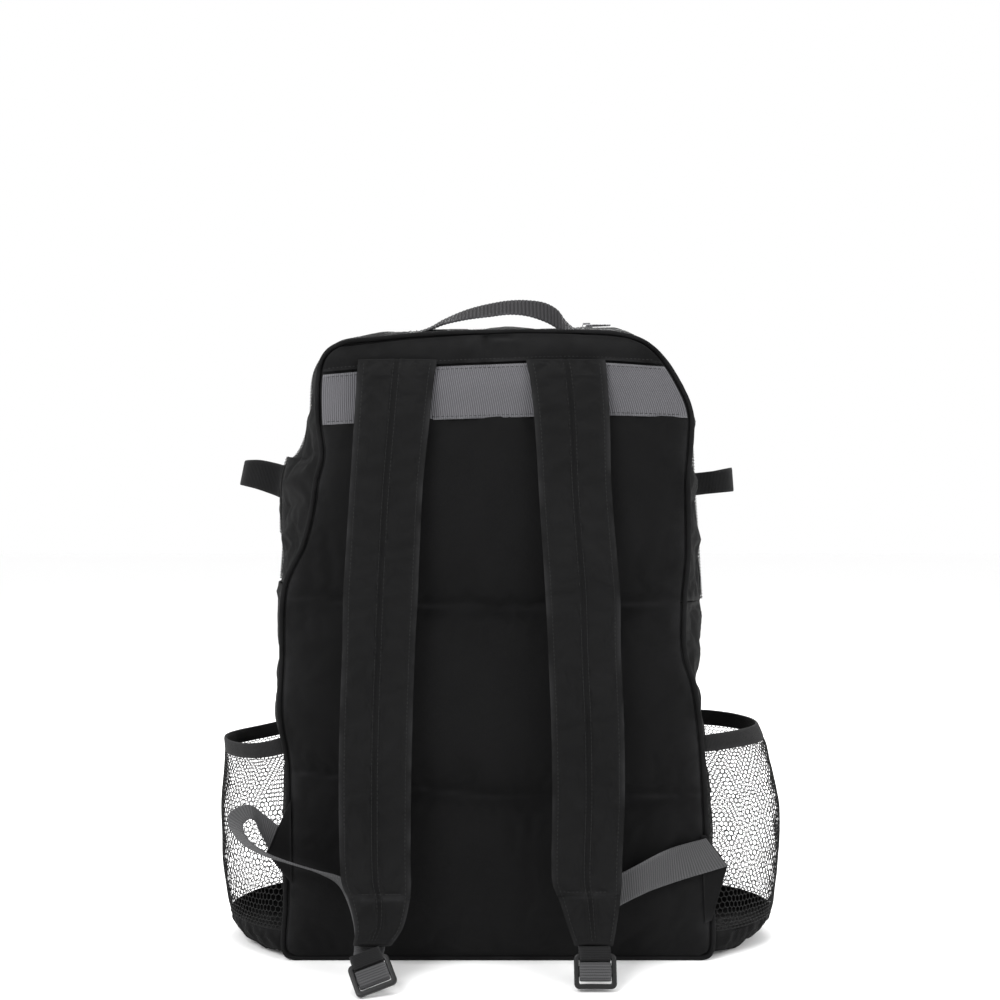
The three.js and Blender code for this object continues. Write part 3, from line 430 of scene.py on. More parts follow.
# Mesh tools
def throughPoints(points, ts, closed=False):
    # A smooth line through the points, even in t from one point to the next.
    pts = np.asarray(points, float)
    count = len(pts)
    ts = np.atleast_1d(np.asarray(ts, float))
    p = (count if closed else count - 1) * ts
    whole = np.floor(p).astype(int)
    part = p - whole
    if closed:
        whole = whole % count
    else:
        last = whole >= count - 1
        whole[last], part[last] = count - 2, 1.0
    if closed:
        p0, p1, p2, p3 = (pts[(whole + k) % count] for k in (-1, 0, 1, 2))
    else:
        wide = np.vstack([2 * pts[0] - pts[1], pts, 2 * pts[-1] - pts[-2]])
        p0, p1, p2, p3 = (wide[whole + k] for k in (0, 1, 2, 3))
    steps = [np.maximum(((b - a) ** 2).sum(1) ** 0.25, 1e-9) for a, b in ((p0, p1), (p1, p2), (p2, p3))]
    d0, d1, d2 = (s[:, None] for s in steps)
    m1 = ((p1 - p0) / d0 - (p2 - p0) / (d0 + d1) + (p2 - p1) / d1) * d1
    m2 = ((p2 - p1) / d1 - (p3 - p1) / (d1 + d2) + (p3 - p2) / d2) * d1
    s = part[:, None]
    return ((2 * s ** 3 - 3 * s ** 2 + 1) * p1 + (s ** 3 - 2 * s ** 2 + s) * m1
            + (3 * s ** 2 - 2 * s ** 3) * p2 + (s ** 3 - s ** 2) * m2)


def unit(vectors):
    return vectors / np.maximum(np.linalg.norm(vectors, axis=-1, keepdims=True), 1e-12)


def rippled(points, scale, seed=0):
    # Smooth noise in -1..1 at points given in millimetres.
    flat = np.asarray(points, float).reshape(-1, 3) / scale + seed * 17.31
    values = [noise.noise(Vector(p)) for p in flat]
    return np.array(values).reshape(np.shape(points)[:-1])


def meshFrom(name, points, faces, material, place=None, rub=None, smooth=True):
    mesh = bpy.data.meshes.new(name)
    mesh.from_pydata(inMetres(points).tolist(), [], faces)
    mesh.validate()
    if place is not None:
        made = mesh.attributes.new("clothPlace", "FLOAT_VECTOR", "POINT")
        flat = np.zeros((len(points), 3))
        flat[:, :2] = np.asarray(place) / 1000
        made.data.foreach_set("vector", flat.ravel())
    if rub is not None:
        made = mesh.attributes.new("rub", "FLOAT", "POINT")
        made.data.foreach_set("value", np.asarray(rub, float).ravel())
    mesh.polygons.foreach_set("use_smooth", [smooth] * len(mesh.polygons))
    mesh.materials.append(materials[material])
    piece = bpy.data.objects.new(name, mesh)
    bpy.context.scene.collection.objects.link(piece)
    return piece


def outwards(piece):
    # Faces turned to the outside.
    made = bmesh.new()
    made.from_mesh(piece.data)
    bmesh.ops.recalc_face_normals(made, faces=made.faces)
    made.to_mesh(piece.data)
    made.free()
    return piece


def gridFaces(rows, columns, closedRows=False, closedColumns=False, offset=0, flip=False):
    i = np.arange(rows if closedRows else rows - 1)[:, None]
    j = np.arange(columns if closedColumns else columns - 1)[None, :]
    a = i * columns + j
    b = ((i + 1) % rows) * columns + j
    c = ((i + 1) % rows) * columns + (j + 1) % columns
    d = i * columns + (j + 1) % columns
    faces = np.stack([a, b, c, d] if flip else [a, d, c, b], -1).reshape(-1, 4) + offset
    return faces.tolist()


def clothPlaces(grid):
    # Distance along both ways of a grid, averaged, so that the weave keeps its pitch.
    down = np.linalg.norm(np.diff(grid, axis=0), axis=2)
    across = np.linalg.norm(np.diff(grid, axis=1), axis=2)
    v = np.concatenate([[0], np.cumsum(down.mean(1))])
    u = np.concatenate([[0], np.cumsum(across.mean(0))])
    uu, vv = np.meshgrid(u, v)
    return np.stack([uu, vv], -1)


def sheetFrom(name, grid, material, inner, rub=None, closedColumns=False, places=None):
    # A cloth wall between its outer and its inner face.
    rows, columns = grid.shape[:2]
    places = clothPlaces(grid) if places is None else places
    rub = np.zeros((rows, columns)) if rub is None else rub
    points = np.vstack([grid.reshape(-1, 3), inner.reshape(-1, 3)])
    total = rows * columns
    faces = gridFaces(rows, columns, closedColumns=closedColumns)
    faces += gridFaces(rows, columns, closedColumns=closedColumns, offset=total, flip=True)
    edge = [(i * columns, (i + 1) * columns) for i in range(rows - 1)]
    if not closedColumns:
        faces += [(a + total, b + total, b, a) for a, b in edge]
        faces += [(a + columns - 1, b + columns - 1, b + columns - 1 + total, a + columns - 1 + total)
                  for a, b in edge]
    span = columns if closedColumns else columns - 1
    last = (rows - 1) * columns
    for j in range(span):
        k = (j + 1) % columns
        faces.append((j, k, k + total, j + total))
        faces.append((last + k, last + j, last + j + total, last + k + total))
    piece = meshFrom(name, points, faces, material, np.vstack([places.reshape(-1, 2)] * 2),
                     np.concatenate([rub.ravel()] * 2))
    return outwards(piece)


def creased(grid, normals, creases, axes=(0, 2)):
    # Each crease: its start and end in the plane of the two axes, half width and height.
    lifted = grid.copy()
    for (x0, z0), (x1, z1), width, height in creases:
        start, end = np.array([x0, z0]), np.array([x1, z1])
        run = end - start
        flat = grid[..., list(axes)] - start
        share = (flat @ run) / (run @ run)
        away = np.abs(flat[..., 0] * run[1] - flat[..., 1] * run[0]) / np.linalg.norm(run)
        fade = np.clip(1.0 - (2 * share - 1) ** 2, 0, 1) * ((share > 0) & (share < 1))
        lifted += normals * (height * fade * np.exp(-(away / width) ** 2))[..., None]
    return lifted


def settleCloth(piece, held, pressure, surplus, cap, stiffness=14.0, bending=0.4, frames=12):
    # The cloth is blown out a little and given spare length between its held points, then its
    # settled shape is kept, no point further than cap (millimetres) from where it was.
    group = piece.vertex_groups.new(name="held")
    for index, weight in enumerate(held):
        if weight > 0:
            group.add([index], float(weight), "REPLACE")
    cloth = piece.modifiers.new("settle", "CLOTH")
    s = cloth.settings
    s.quality = 4
    s.mass = 0.02
    s.tension_stiffness = s.compression_stiffness = stiffness
    s.shear_stiffness = stiffness / 2
    s.bending_stiffness = bending
    s.air_damping = 2
    s.effector_weights.gravity = 0
    s.vertex_group_mass = "held"
    s.use_pressure = True
    s.uniform_pressure_force = pressure
    s.shrink_min = -surplus
    s.shrink_max = -surplus
    cloth.collision_settings.use_collision = False
    cloth.point_cache.frame_start = 1
    cloth.point_cache.frame_end = frames
    scene = bpy.context.scene
    for number in range(1, frames + 1):
        scene.frame_set(number)
    settled = piece.evaluated_get(bpy.context.evaluated_depsgraph_get())
    count = len(piece.data.vertices)
    before, after = np.zeros(count * 3), np.zeros(count * 3)
    piece.data.vertices.foreach_get("co", before)
    settled.data.vertices.foreach_get("co", after)
    before, after = before.reshape(-1, 3), after.reshape(-1, 3)
    moved = after - before
    length = np.linalg.norm(moved, axis=1, keepdims=True)
    limit = cap / 1000
    # soft cap, so that no flat shelf forms
    moved *= limit * np.tanh(length / limit) / np.maximum(length, 1e-9)
    piece.modifiers.remove(cloth)
    piece.vertex_groups.remove(group)
    piece.data.vertices.foreach_set("co", (before + moved).ravel())
    piece.data.update()
    scene.frame_set(1)
    print(f"{piece.name} settled, moved {1000 * length.max():.1f} mm")
    return piece


def applyModifier(piece, kind, **settings):
    made = piece.modifiers.new(kind.title(), kind)
    for key, value in settings.items():
        setattr(made, key, value)
    bpy.context.view_layer.update()
    shaped = piece.evaluated_get(bpy.context.evaluated_depsgraph_get())
    mesh = bpy.data.meshes.new_from_object(shaped)
    piece.modifiers.remove(made)
    old = piece.data
    piece.data = mesh
    bpy.data.meshes.remove(old)
    mesh.name = piece.name
    return piece


def tubeFrom(name, path, radius, material, sides=10, closed=False, squash=1.0, wobble=0.0):
    # A round cord along a path of points.
    path = np.asarray(path, float)
    ahead = np.roll(path, -1, 0) - np.roll(path, 1, 0) if closed else np.gradient(path, axis=0)
    ahead = unit(ahead)
    up = np.zeros_like(path)
    side = np.cross(ahead[0], [0.31, 0.2, 0.93])
    for i, way in enumerate(ahead):
        side = side - way * (side @ way)
        side /= np.linalg.norm(side)
        up[i] = side
    other = np.cross(ahead, up)
    turns = np.linspace(0, 2 * math.pi, sides, endpoint=False)
    swell = 1 + wobble * rippled(path, 3.0)[:, None, None] if wobble else 1.0
    ring = (np.cos(turns)[None, :, None] * up[:, None] + squash * np.sin(turns)[None, :, None]
            * other[:, None]) * radius * swell
    grid = path[:, None] + ring
    faces = gridFaces(len(path), sides, closedRows=closed, closedColumns=True)
    if not closed:
        last = len(path) * sides
        faces += [tuple(range(sides)), tuple(range(last - 1, last - sides - 1, -1))]
    walked = np.concatenate([[0], np.cumsum(np.linalg.norm(np.diff(path, axis=0), axis=1))])
    around = np.abs(turns - math.pi) * radius
    places = np.stack(np.meshgrid(around, walked), -1)
    piece = meshFrom(name, grid.reshape(-1, 3), faces, material, places.reshape(-1, 2),
                     np.zeros(grid.shape[:2]).ravel() + 0.3)
    return outwards(piece)


stitchLook = {"length": 2.6, "gap": 0.9, "radius": 0.28, "sunk": 0.12}


def stitchesAlong(name, lines, normals, length=None, radius=None):
    # Thread stitches as one mesh: every line is a path with the surface's normals along it.
    look = dict(stitchLook)
    look.update({"length": length or look["length"], "radius": radius or look["radius"]})
    shares = np.array([0.0, 0.16, 0.5, 0.84, 1.0])
    sizes = np.array([0.35, 0.9, 1.0, 0.9, 0.35])
    lifts = np.array([-0.9, 0.35, 0.8, 0.35, -0.9])
    around = np.linspace(0, 2 * math.pi, 6, endpoint=False)
    points, faces = [], []
    for line, normal in zip(lines, normals):
        line, normal = np.asarray(line, float), np.asarray(normal, float)
        walked = np.concatenate([[0], np.cumsum(np.linalg.norm(np.diff(line, axis=0), axis=1))])
        step = look["length"] + look["gap"]
        for start in np.arange(look["gap"] / 2, walked[-1] - look["length"], step):
            at = start + shares * look["length"]
            middle = np.stack([np.interp(at, walked, line[:, k]) for k in range(3)], -1)
            out = unit(np.stack([np.interp(at, walked, normal[:, k]) for k in range(3)], -1))
            way = unit(np.gradient(middle, axis=0))
            side = unit(np.cross(way, out))
            middle = middle + out * (lifts * look["radius"] - look["sunk"])[:, None]
            ring = (np.cos(around)[None, :, None] * side[:, None]
                    + np.sin(around)[None, :, None] * out[:, None])
            grid = middle[:, None] + ring * (sizes * look["radius"])[:, None, None]
            offset = sum(len(p) for p in points)
            points.append(grid.reshape(-1, 3))
            faces += gridFaces(5, 6, closedColumns=True, offset=offset)
            faces += [tuple(range(offset, offset + 6)), tuple(range(offset + 29, offset + 23, -1))]
    flat = np.vstack(points)
    return outwards(meshFrom(name, flat, faces, "thread", np.zeros((len(flat), 2)),
                             np.zeros(len(flat))))


def bodyThread(name, lines, normals, length=None, radius=None):
    threads = stitchesAlong(name, lines, normals, length, radius)
    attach(threads, "bag")

# Body: the seam round the back panel, and the shell between back and front seam
bodySetup = {
    "halfWidth": 182, "seamHeight": 532, "depth": 200, "bulge": 20, "frontWidth": 0.96,
    "frontHeight": 0.985, "cloth": 2.2, "gap": 0.3, "piping": 2.0, "padding": 7, "panelEdge": 2.4,
    "frontCrown": 16, "zipPlace": 0.34,
}
halfDepth = bodySetup["depth"] / 2
# x and height as shares, and the swell of the gusset beside that point
rimRows = [
    (-0.95, 0, 0), (-0.984, 0.006, 0.15), (-0.981, 0.085, 0.75), (-0.972, 0.3, 0.9),
    (-1.008, 0.385, 0.85), (-1, 0.472, 0.85), (-0.986, 0.592, 1), (-0.9, 0.66, 1.95),
    (-0.86, 0.715, 2.28), (-0.84, 0.764, 2.42), (-0.813, 0.802, 2.3), (-0.831, 0.866, 1.15),
    (-0.822, 0.944, 1), (-0.79, 0.968, 0.9), (-0.72, 0.982, 0.85), (-0.55, 0.989, 0.9),
    (-0.33, 0.996, 0.78), (0, 1, 0.8), (0.3, 1, 0.75), (0.55, 0.997, 0.9), (0.67, 0.985, 0.8),
    (0.752, 0.962, 0.7), (0.834, 0.92, 0.6), (0.89, 0.874, 0.6), (0.89, 0.824, 0.8),
    (0.878, 0.768, 1), (0.878, 0.642, 1.25), (0.86, 0.567, 1.55), (0.864, 0.482, 1.45),
    (0.906, 0.434, 1.2), (0.937, 0.355, 1), (0.967, 0.172, 0.9), (0.984, 0.006, 0.15),
    (0.95, 0, 0), (0.88, 0, 0), (-0.88, 0, 0),
]
rimMarks = {"bottomLeft": 0, "footLeft": 1, "zipLeft": 6, "cornerLeft": 13, "crownLeft": 15,
            "crownRight": 19, "cornerRight": 21, "zipRight": 27, "footRight": 32, "bottomRight": 33}
rimMarks = {name: row / len(rimRows) for name, row in rimMarks.items()}
rimBase = 2 * bodySetup["piping"] + bodySetup["gap"]
rimRise = bodySetup["seamHeight"] - rimBase
rimPoints = [(x * bodySetup["halfWidth"], bulge * bodySetup["bulge"], rimBase + z * rimRise)
             for x, z, bulge in rimRows]


def rimAt(ts):
    return throughPoints(rimPoints, ts, closed=True)


def rimWay(ts):
    ahead = rimAt(np.asarray(ts) + 1e-4) - rimAt(np.asarray(ts) - 1e-4)
    ahead[:, 1] = 0
    return unit(ahead)


def shell(t, depth, outward=0.0):
    t, depth, outward = (a.ravel() for a in np.broadcast_arrays(t, depth, outward))
    seam, way = rimAt(t), rimWay(t)
    swell = seam[:, 1] * np.maximum(np.sin(math.pi * depth), 0) ** 0.9
    push = swell + outward
    x = seam[:, 0] * (1 + (bodySetup["frontWidth"] - 1) * depth) - way[:, 2] * push
    z = seam[:, 2] * (1 + (bodySetup["frontHeight"] - 1) * depth) + way[:, 0] * push
    return np.stack([x, bodySetup["depth"] * depth - halfDepth, z], -1)


def shellGrid(ts, depths, outward=0.0):
    tt, dd = np.meshgrid(ts, depths, indexing="ij")
    out = np.broadcast_to(outward, tt.shape)
    return shell(tt, dd, out).reshape(*tt.shape, 3)


def shellOut(ts, columns):
    way = rimWay(ts)
    out = np.stack([-way[:, 2], np.zeros(len(way)), way[:, 0]], -1)
    return np.repeat(out[:, None], columns, 1)


sideRange = {"left": ("bottomLeft", "crownLeft"), "right": ("crownRight", "bottomRight")}
fineT = np.linspace(0, 1, 7201)
fineRim = rimAt(fineT[:-1])


def atHeight(side, height):
    # The seam's t at a height, on one side.
    start, end = (rimMarks[name] for name in sideRange[side])
    chosen = (fineT[:-1] >= start) & (fineT[:-1] <= end)
    ts, zs = fineT[:-1][chosen], fineRim[chosen, 2]
    if side == "right":
        ts, zs = ts[::-1], zs[::-1]
    rising = np.maximum.accumulate(zs)
    return np.interp(height, rising, ts)


def atReach(x):
    start, end = rimMarks["cornerLeft"], rimMarks["cornerRight"]
    chosen = (fineT[:-1] >= start) & (fineT[:-1] <= end)
    return np.interp(x, fineRim[chosen, 0], fineT[:-1][chosen])


gussetSetup = {
    "pressure": 3.0, "surplus": 0.03, "cap": 3.0,
    # folds on each side: start and end as (y, z), half width, height
    "left": [((-98, 308), (-20, 322), 8, 2.5), ((-98, 262), (10, 246), 9, -2.5),
             ((-96, 196), (20, 214), 12, 2), ((-30, 40), (60, 200), 14, -2.5)],
    "right": [((-98, 290), (-10, 300), 6, -3), ((-98, 262), (0, 246), 8, 3),
              ((-98, 238), (20, 222), 7, -3.5), ((-95, 190), (40, 176), 10, 2.5),
              ((-30, 40), (60, 190), 14, -2.5)],
    "top": [((-98, 434), (-14, 422), 5, -4.5), ((-97, 414), (-20, 396), 7, 3.5),
            ((-98, 396), (-8, 372), 6, -3.5), ((-96, 372), (-25, 346), 8, 3),
            ((-96, 450), (-40, 470), 7, 2.5)],
}


def gussetWall(name, node, ts, depths, creases, held):
    columns = len(depths)
    out = shellOut(ts, columns)
    grid = shellGrid(ts, depths, -0.2)
    ease = np.minimum(1, np.minimum(depths - depths[0], depths[-1] - depths) * 14)
    soft = grid + out * (rippled(grid, 26.0, 1) * 1.6 + rippled(grid, 9.0, 2) * 0.45)[..., None] \
        * ease[None, :, None]
    lifted = creased(soft, out * ease[None, :, None], creases, axes=(1, 2))
    rub = np.exp(-np.minimum(depths - depths[0], depths[-1] - depths) * 40)[None, :] * np.ones((len(ts), 1))
    piece = sheetFrom(name, lifted, "polyester",
                      lifted - out * (bodySetup["cloth"] - 0.4), rub)
    pins = np.zeros((2, len(ts), columns))
    pins[:, :, :2] = pins[:, :, -2:] = 1
    pins[:, :2] = pins[:, -2:] = 1
    if held is not None:
        pins[:, held] = 1
    settleCloth(piece, pins.ravel(), gussetSetup["pressure"], gussetSetup["surplus"],
                gussetSetup["cap"])
    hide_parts(node)
    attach(piece, "bag")
    return piece


def rimSteps(start, end, perRow=7):
    rows = round((rimMarks[end] - rimMarks[start]) * len(rimRows))
    return np.linspace(rimMarks[start], rimMarks[end], rows * perRow + 1)


def makeGussets():
    gap, cloth = 0.0006, bodySetup["depth"]
    depths = np.linspace(0.0, 1.0, 46)
    sides = {"left": ("footLeft", "zipLeft"), "right": ("zipRight", "footRight")}
    for side, (start, end) in sides.items():
        gussetWall(f"sideGusset_{side}", f"side_gusset_{side}", rimSteps(start, end, 16), depths,
                   gussetSetup[side], None)
    ts = rimSteps("zipLeft", "zipRight", 9)
    ts[0] += gap
    ts[-1] -= gap
    tape = 6.5 / cloth + 0.3 / cloth
    gussetWall("topGussetBack", "top_gusset_back", ts,
               np.linspace(0, bodySetup["zipPlace"] - tape, 18), gussetSetup["top"], None)
    gussetWall("topGussetFront", "top_gusset_front", ts,
               np.linspace(bodySetup["zipPlace"] + tape, 1, 30), gussetSetup["top"], None)


def makePiping():
    count = 760
    ts = np.linspace(0, 1, count, endpoint=False)
    radius = bodySetup["piping"]
    for name, depth, way in (("piping_back", 0.0, -1), ("piping_front", 1.0, 1)):
        line = shell(ts, depth, bodySetup["gap"] + radius)
        line[:, 1] += way * 0.6 * radius
        line[:, 2] = np.maximum(line[:, 2], radius)
        shaken = line + 0.22 * np.stack([rippled(line, 7.0, 5), rippled(line, 7.0, 6),
                                         np.zeros(count)], -1)
        piece = tubeFrom(name.replace("_b", "B").replace("_f", "F"), shaken, radius * 0.95,
                         "polyester", sides=10, closed=True)
        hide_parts(name)
        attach(piece, "bag")
        # the piping's flange, caught in the seam
        flange = np.array([shell(ts, depth, bodySetup["gap"] + radius), shell(ts, depth, 0.4),
                           shell(ts, depth - way * 0.006, -1.6)])
        flange[:, :, 1] += np.array([0.6 * radius, 0.5, 0.2])[:, None] * way
        flange[..., 2] = np.maximum(flange[..., 2], 1.2)
        back = flange + np.array([0, -0.9 * way, 0])
        tape = sheetFrom(piece.name + "Flange", flange, "polyester", back,
                         np.zeros((3, count)), closedColumns=True)
        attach(tape, "bag")


# Back panel: padded, quilted in three fields, with the webbing band and the yoke above
panelSetup = {
    "edgeInset": 1.8, "columns": 116, "rows": 150, "pressure": 5.0, "surplus": 0.022, "cap": 3.2,
    "quiltWidth": 9.0, "seamWidth": 1.6,
    # heights of the two quilted seams from left to right, and of the band's edges
    "quilts": [(307.5, 302, 299.5, 300.5, 304.5), (160, 149, 138.5, 137.5, 141)],
    "bandLow": (459.5, 461.5, 463, 464, 462), "bandHigh": (502.5, 505.5, 507, 508.5, 505.5),
    "yokeLow": (505, 507.5, 509, 510.5, 508),
    "creases": [((-178, 262), (-120, 268), 6, -1.8), ((-176, 236), (-138, 246), 5, 1.6),
                ((-172, 214), (-132, 205), 6, -1.5), ((-160, 330), (-142, 420), 9, 1.5),
                ((62, 322), (70, 452), 11, 1.6), ((-34, 320), (-20, 450), 12, -1.2),
                ((120, 210), (158, 232), 6, -1.8), ((112, 60), (160, 120), 10, 1.8),
                ((-165, 40), (-120, 105), 12, 1.5), ((-60, 172), (40, 190), 12, 1.2),
                ((128, 330), (150, 440), 9, 1.4), ((-120, 20), (120, 16), 8, 1.6)],
}
crownMiddle = (rimAt([rimMarks["crownLeft"]])[0, 2] + rimAt([rimMarks["crownRight"]])[0, 2]) / 2
crownLift = rimBase + rimRise - crownMiddle


def panelPlane(us, shares):
    crownLeft = rimAt([rimMarks["crownLeft"]])[0, 2]
    crownRight = rimAt([rimMarks["crownRight"]])[0, 2]
    left = rimAt(atHeight("left", rimBase + (crownLeft - rimBase) * shares))
    right = rimAt(atHeight("right", rimBase + (crownRight - rimBase) * shares))
    left[:, 0] += panelSetup["edgeInset"]
    right[:, 0] -= panelSetup["edgeInset"]
    u = us[None, :, None]
    points = left[:, None] * (1 - u) + right[:, None] * u
    points[..., 2] += crownLift * 4 * (us * (1 - us))[None] * (shares ** 12)[:, None]
    return points


def acrossPanel(heights, us):
    return throughPoints([(h, 0, 0) for h in heights], us)[:, 0]


def panelFace(us, shares, detail=True):
    grid = panelPlane(us, shares)
    amount = 1 - (2 * us - 1) ** 4
    amount = amount[None] * np.minimum(1, shares / 0.07)[:, None] \
        * np.minimum(1, (1 - shares) / 0.08)[:, None]
    seam = np.ones_like(amount)
    for heights in panelSetup["quilts"]:
        away = grid[..., 2] - acrossPanel(heights, us)[None]
        amount = amount * (1 - np.exp(-(away / panelSetup["quiltWidth"]) ** 2))
        seam = np.minimum(seam, 1 - np.exp(-(away / panelSetup["seamWidth"]) ** 2))
    lift = bodySetup["panelEdge"] + bodySetup["padding"] * amount
    if detail:
        lift = lift + (rippled(grid, 34.0, 3) * 0.9 + rippled(grid, 11.0, 4) * 0.3) \
            * np.clip(amount * 3, 0, 1) - 0.5 * (1 - seam)
    grid[..., 1] = -(halfDepth + bodySetup["gap"] + lift)
    return grid, amount, seam


def frontOfPanel(us, heights, lift):
    # Points over the panel's face at given heights.
    shares = (np.asarray(heights) - rimBase) / rimRise
    rows = [panelFace(us[i:i + 1], shares[i:i + 1], False)[0][0, 0] for i in range(len(us))]
    line = np.array(rows)
    line[:, 1] -= lift
    return line


def makeBackPanel():
    us = np.linspace(0, 1, panelSetup["columns"])
    top = (bodySetup["seamHeight"] - 21.5 - rimBase) / rimRise
    shares = np.linspace(0, top, panelSetup["rows"])
    grid, amount, seam = panelFace(us, shares)
    toFront = np.zeros_like(grid)
    toFront[..., 1] = -1
    grid = creased(grid, toFront * np.clip(amount * 2, 0, 1)[..., None], panelSetup["creases"])
    back = grid.copy()
    back[..., 1] = -(halfDepth + bodySetup["gap"])
    edge = np.minimum(us, 1 - us)[None] * 360
    rub = 0.8 * np.exp(-edge / 6) + 0.5 * (1 - seam)
    piece = sheetFrom("backPanel", grid, "polyester", back, rub)
    pins = np.zeros((2, *grid.shape[:2]))
    pins[1] = 1
    pins[0][:, :2] = pins[0][:, -2:] = 1
    pins[0][:2] = 1
    pins[0][-14:] = 1
    pins[0] = np.maximum(pins[0], (seam < 0.8) * 1.0)
    settleCloth(piece, pins.ravel(), panelSetup["pressure"], panelSetup["surplus"],
                panelSetup["cap"])
    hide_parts("back_panel")
    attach(piece, "bag")
    return piece


def panelRibbon(name, node, low, high, lift, thickness, material, rows, rubWidth):
    us = np.linspace(0.001, 0.999, 200)
    lows, highs = acrossPanel(low, us), acrossPanel(high, us)
    lines = [frontOfPanel(us, lows + (highs - lows) * share, lift)
             for share in np.linspace(0, 1, rows)]
    outer = np.array(lines)
    outer[..., 1] -= thickness + 0.25 * rippled(outer, 24.0, 7)
    edge = np.linspace(0, 1, rows)
    near = np.minimum(edge, 1 - edge) * np.linalg.norm(outer[-1, 0] - outer[0, 0])
    outer[..., 1] += 0.5 * np.exp(-near / 0.7)[:, None]
    inner = np.array(lines)
    rub = np.exp(-near / rubWidth)[:, None] * np.ones((1, len(us)))
    piece = sheetFrom(name, outer, material, inner, rub)
    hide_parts(node)
    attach(piece, "bag")
    return piece


def makeBandAndYoke():
    gap = bodySetup["gap"]
    panelRibbon("webbingBand", "webbing_band", panelSetup["bandLow"], panelSetup["bandHigh"], gap,
                1.6, "greyWebbing", 26, 1.2)
    us = np.linspace(0, 1, 130)
    lows = acrossPanel(panelSetup["yokeLow"], us)
    tops = panelPlane(us, np.array([1.0]))[0][:, 2]
    rows = []
    for share in np.linspace(0, 1, 18):
        line = frontOfPanel(us, lows + (tops - lows) * share * 0.998, 0.3)
        line[:, 1] -= (2.2 + 1.4 * math.sin(math.pi * min(1, share * 1.1))) * (1 - 0.75 * share ** 3)
        rows.append(line)
    grid = np.array(rows)
    toFront = np.zeros_like(grid)
    toFront[..., 1] = -1
    grid = creased(grid, toFront, [((-11, 534), (-9, 512), 2.4, -2.8), ((-14, 530), (14, 529), 2.2, -2.4),
                                   ((-6, 526), (26, 524), 4, 1.6), ((-17, 534), (-26, 512), 4, 1.2),
                                   ((-4, 534), (14, 510), 5, 1.0), ((-108, 532), (-104, 512), 3, -1.2),
                                   ((60, 532), (76, 514), 6, 0.9)])
    grid[..., 1] -= 0.5 * rippled(grid, 20.0, 8)
    back = grid.copy()
    back[..., 1] += 2.0
    rub = np.ones((18, 1)) * 0.2 + np.zeros((18, 130))
    rub[:2] = 0.9
    piece = sheetFrom("panelYoke", grid, "polyester", back, rub)
    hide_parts("panel_yoke")
    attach(piece, "bag")


def makeFrontPanel():
    us, shares = np.linspace(0, 1, 84), np.linspace(0, 1, 110)
    grid = panelPlane(us, shares)
    grid[..., 0] *= bodySetup["frontWidth"]
    grid[..., 2] *= bodySetup["frontHeight"]
    crown = bodySetup["frontCrown"] * (1 - (2 * us - 1) ** 4)[None] * (1 - (2 * shares - 1) ** 6)[:, None]
    ease = np.clip(crown / 6, 0, 1)
    grid[..., 1] = halfDepth + bodySetup["gap"] + crown + bodySetup["panelEdge"] \
        + (rippled(grid, 48.0, 9) * 2.2 + rippled(grid, 14.0, 10) * 0.5) * ease
    toBack = np.zeros_like(grid)
    toBack[..., 1] = 1
    grid = creased(grid, toBack * ease[..., None], [
        ((-150, 60), (-60, 150), 14, -2.5), ((150, 60), (60, 150), 14, -2.5),
        ((-160, 300), (-60, 260), 12, 2.5), ((160, 320), (50, 280), 12, 2.5),
        ((-120, 470), (-60, 380), 10, -2), ((120, 470), (60, 380), 10, -2)])
    back = grid.copy()
    back[..., 1] -= 1.8
    edge = np.minimum(us, 1 - us)[None] * 350 + 0 * shares[:, None]
    piece = sheetFrom("frontPanel", grid, "polyester", back, 0.8 * np.exp(-edge / 6))
    pins = np.zeros((2, *grid.shape[:2]))
    pins[:, :, :2] = pins[:, :, -2:] = 1
    pins[:, :2] = pins[:, -2:] = 1
    settleCloth(piece, pins.ravel(), 3.0, 0.02, 4.0)
    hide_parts("front_panel")
    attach(piece, "bag")


def makeBasePanel():
    width, length = 2 * bodySetup["halfWidth"] * 0.958, bodySetup["depth"] - 2.9
    us, vs = np.linspace(0, 1, 72), np.linspace(0, 1, 44)
    uu, vv = np.meshgrid(us, vs)

    def rise(share):
        s = np.clip((np.abs(2 * share - 1) - 0.8) / 0.2, 0, 1)
        return s * s * (3 - 2 * s)
    z = rimBase * np.maximum(rise(uu), rise(vv))
    grid = np.stack([(uu - 0.5) * width, (vv - 0.5) * length, z], -1)
    inner = grid + np.array([0, 0, 2.2])
    piece = sheetFrom("basePanel", grid, "polyester", inner, 0.5 * (z < 0.4))
    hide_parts("base_panel")
    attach(piece, "bag")


makeGussets()
makePiping()
makeBackPanel()
makeBandAndYoke()
makeFrontPanel()
makeBasePanel()
print("body ready")

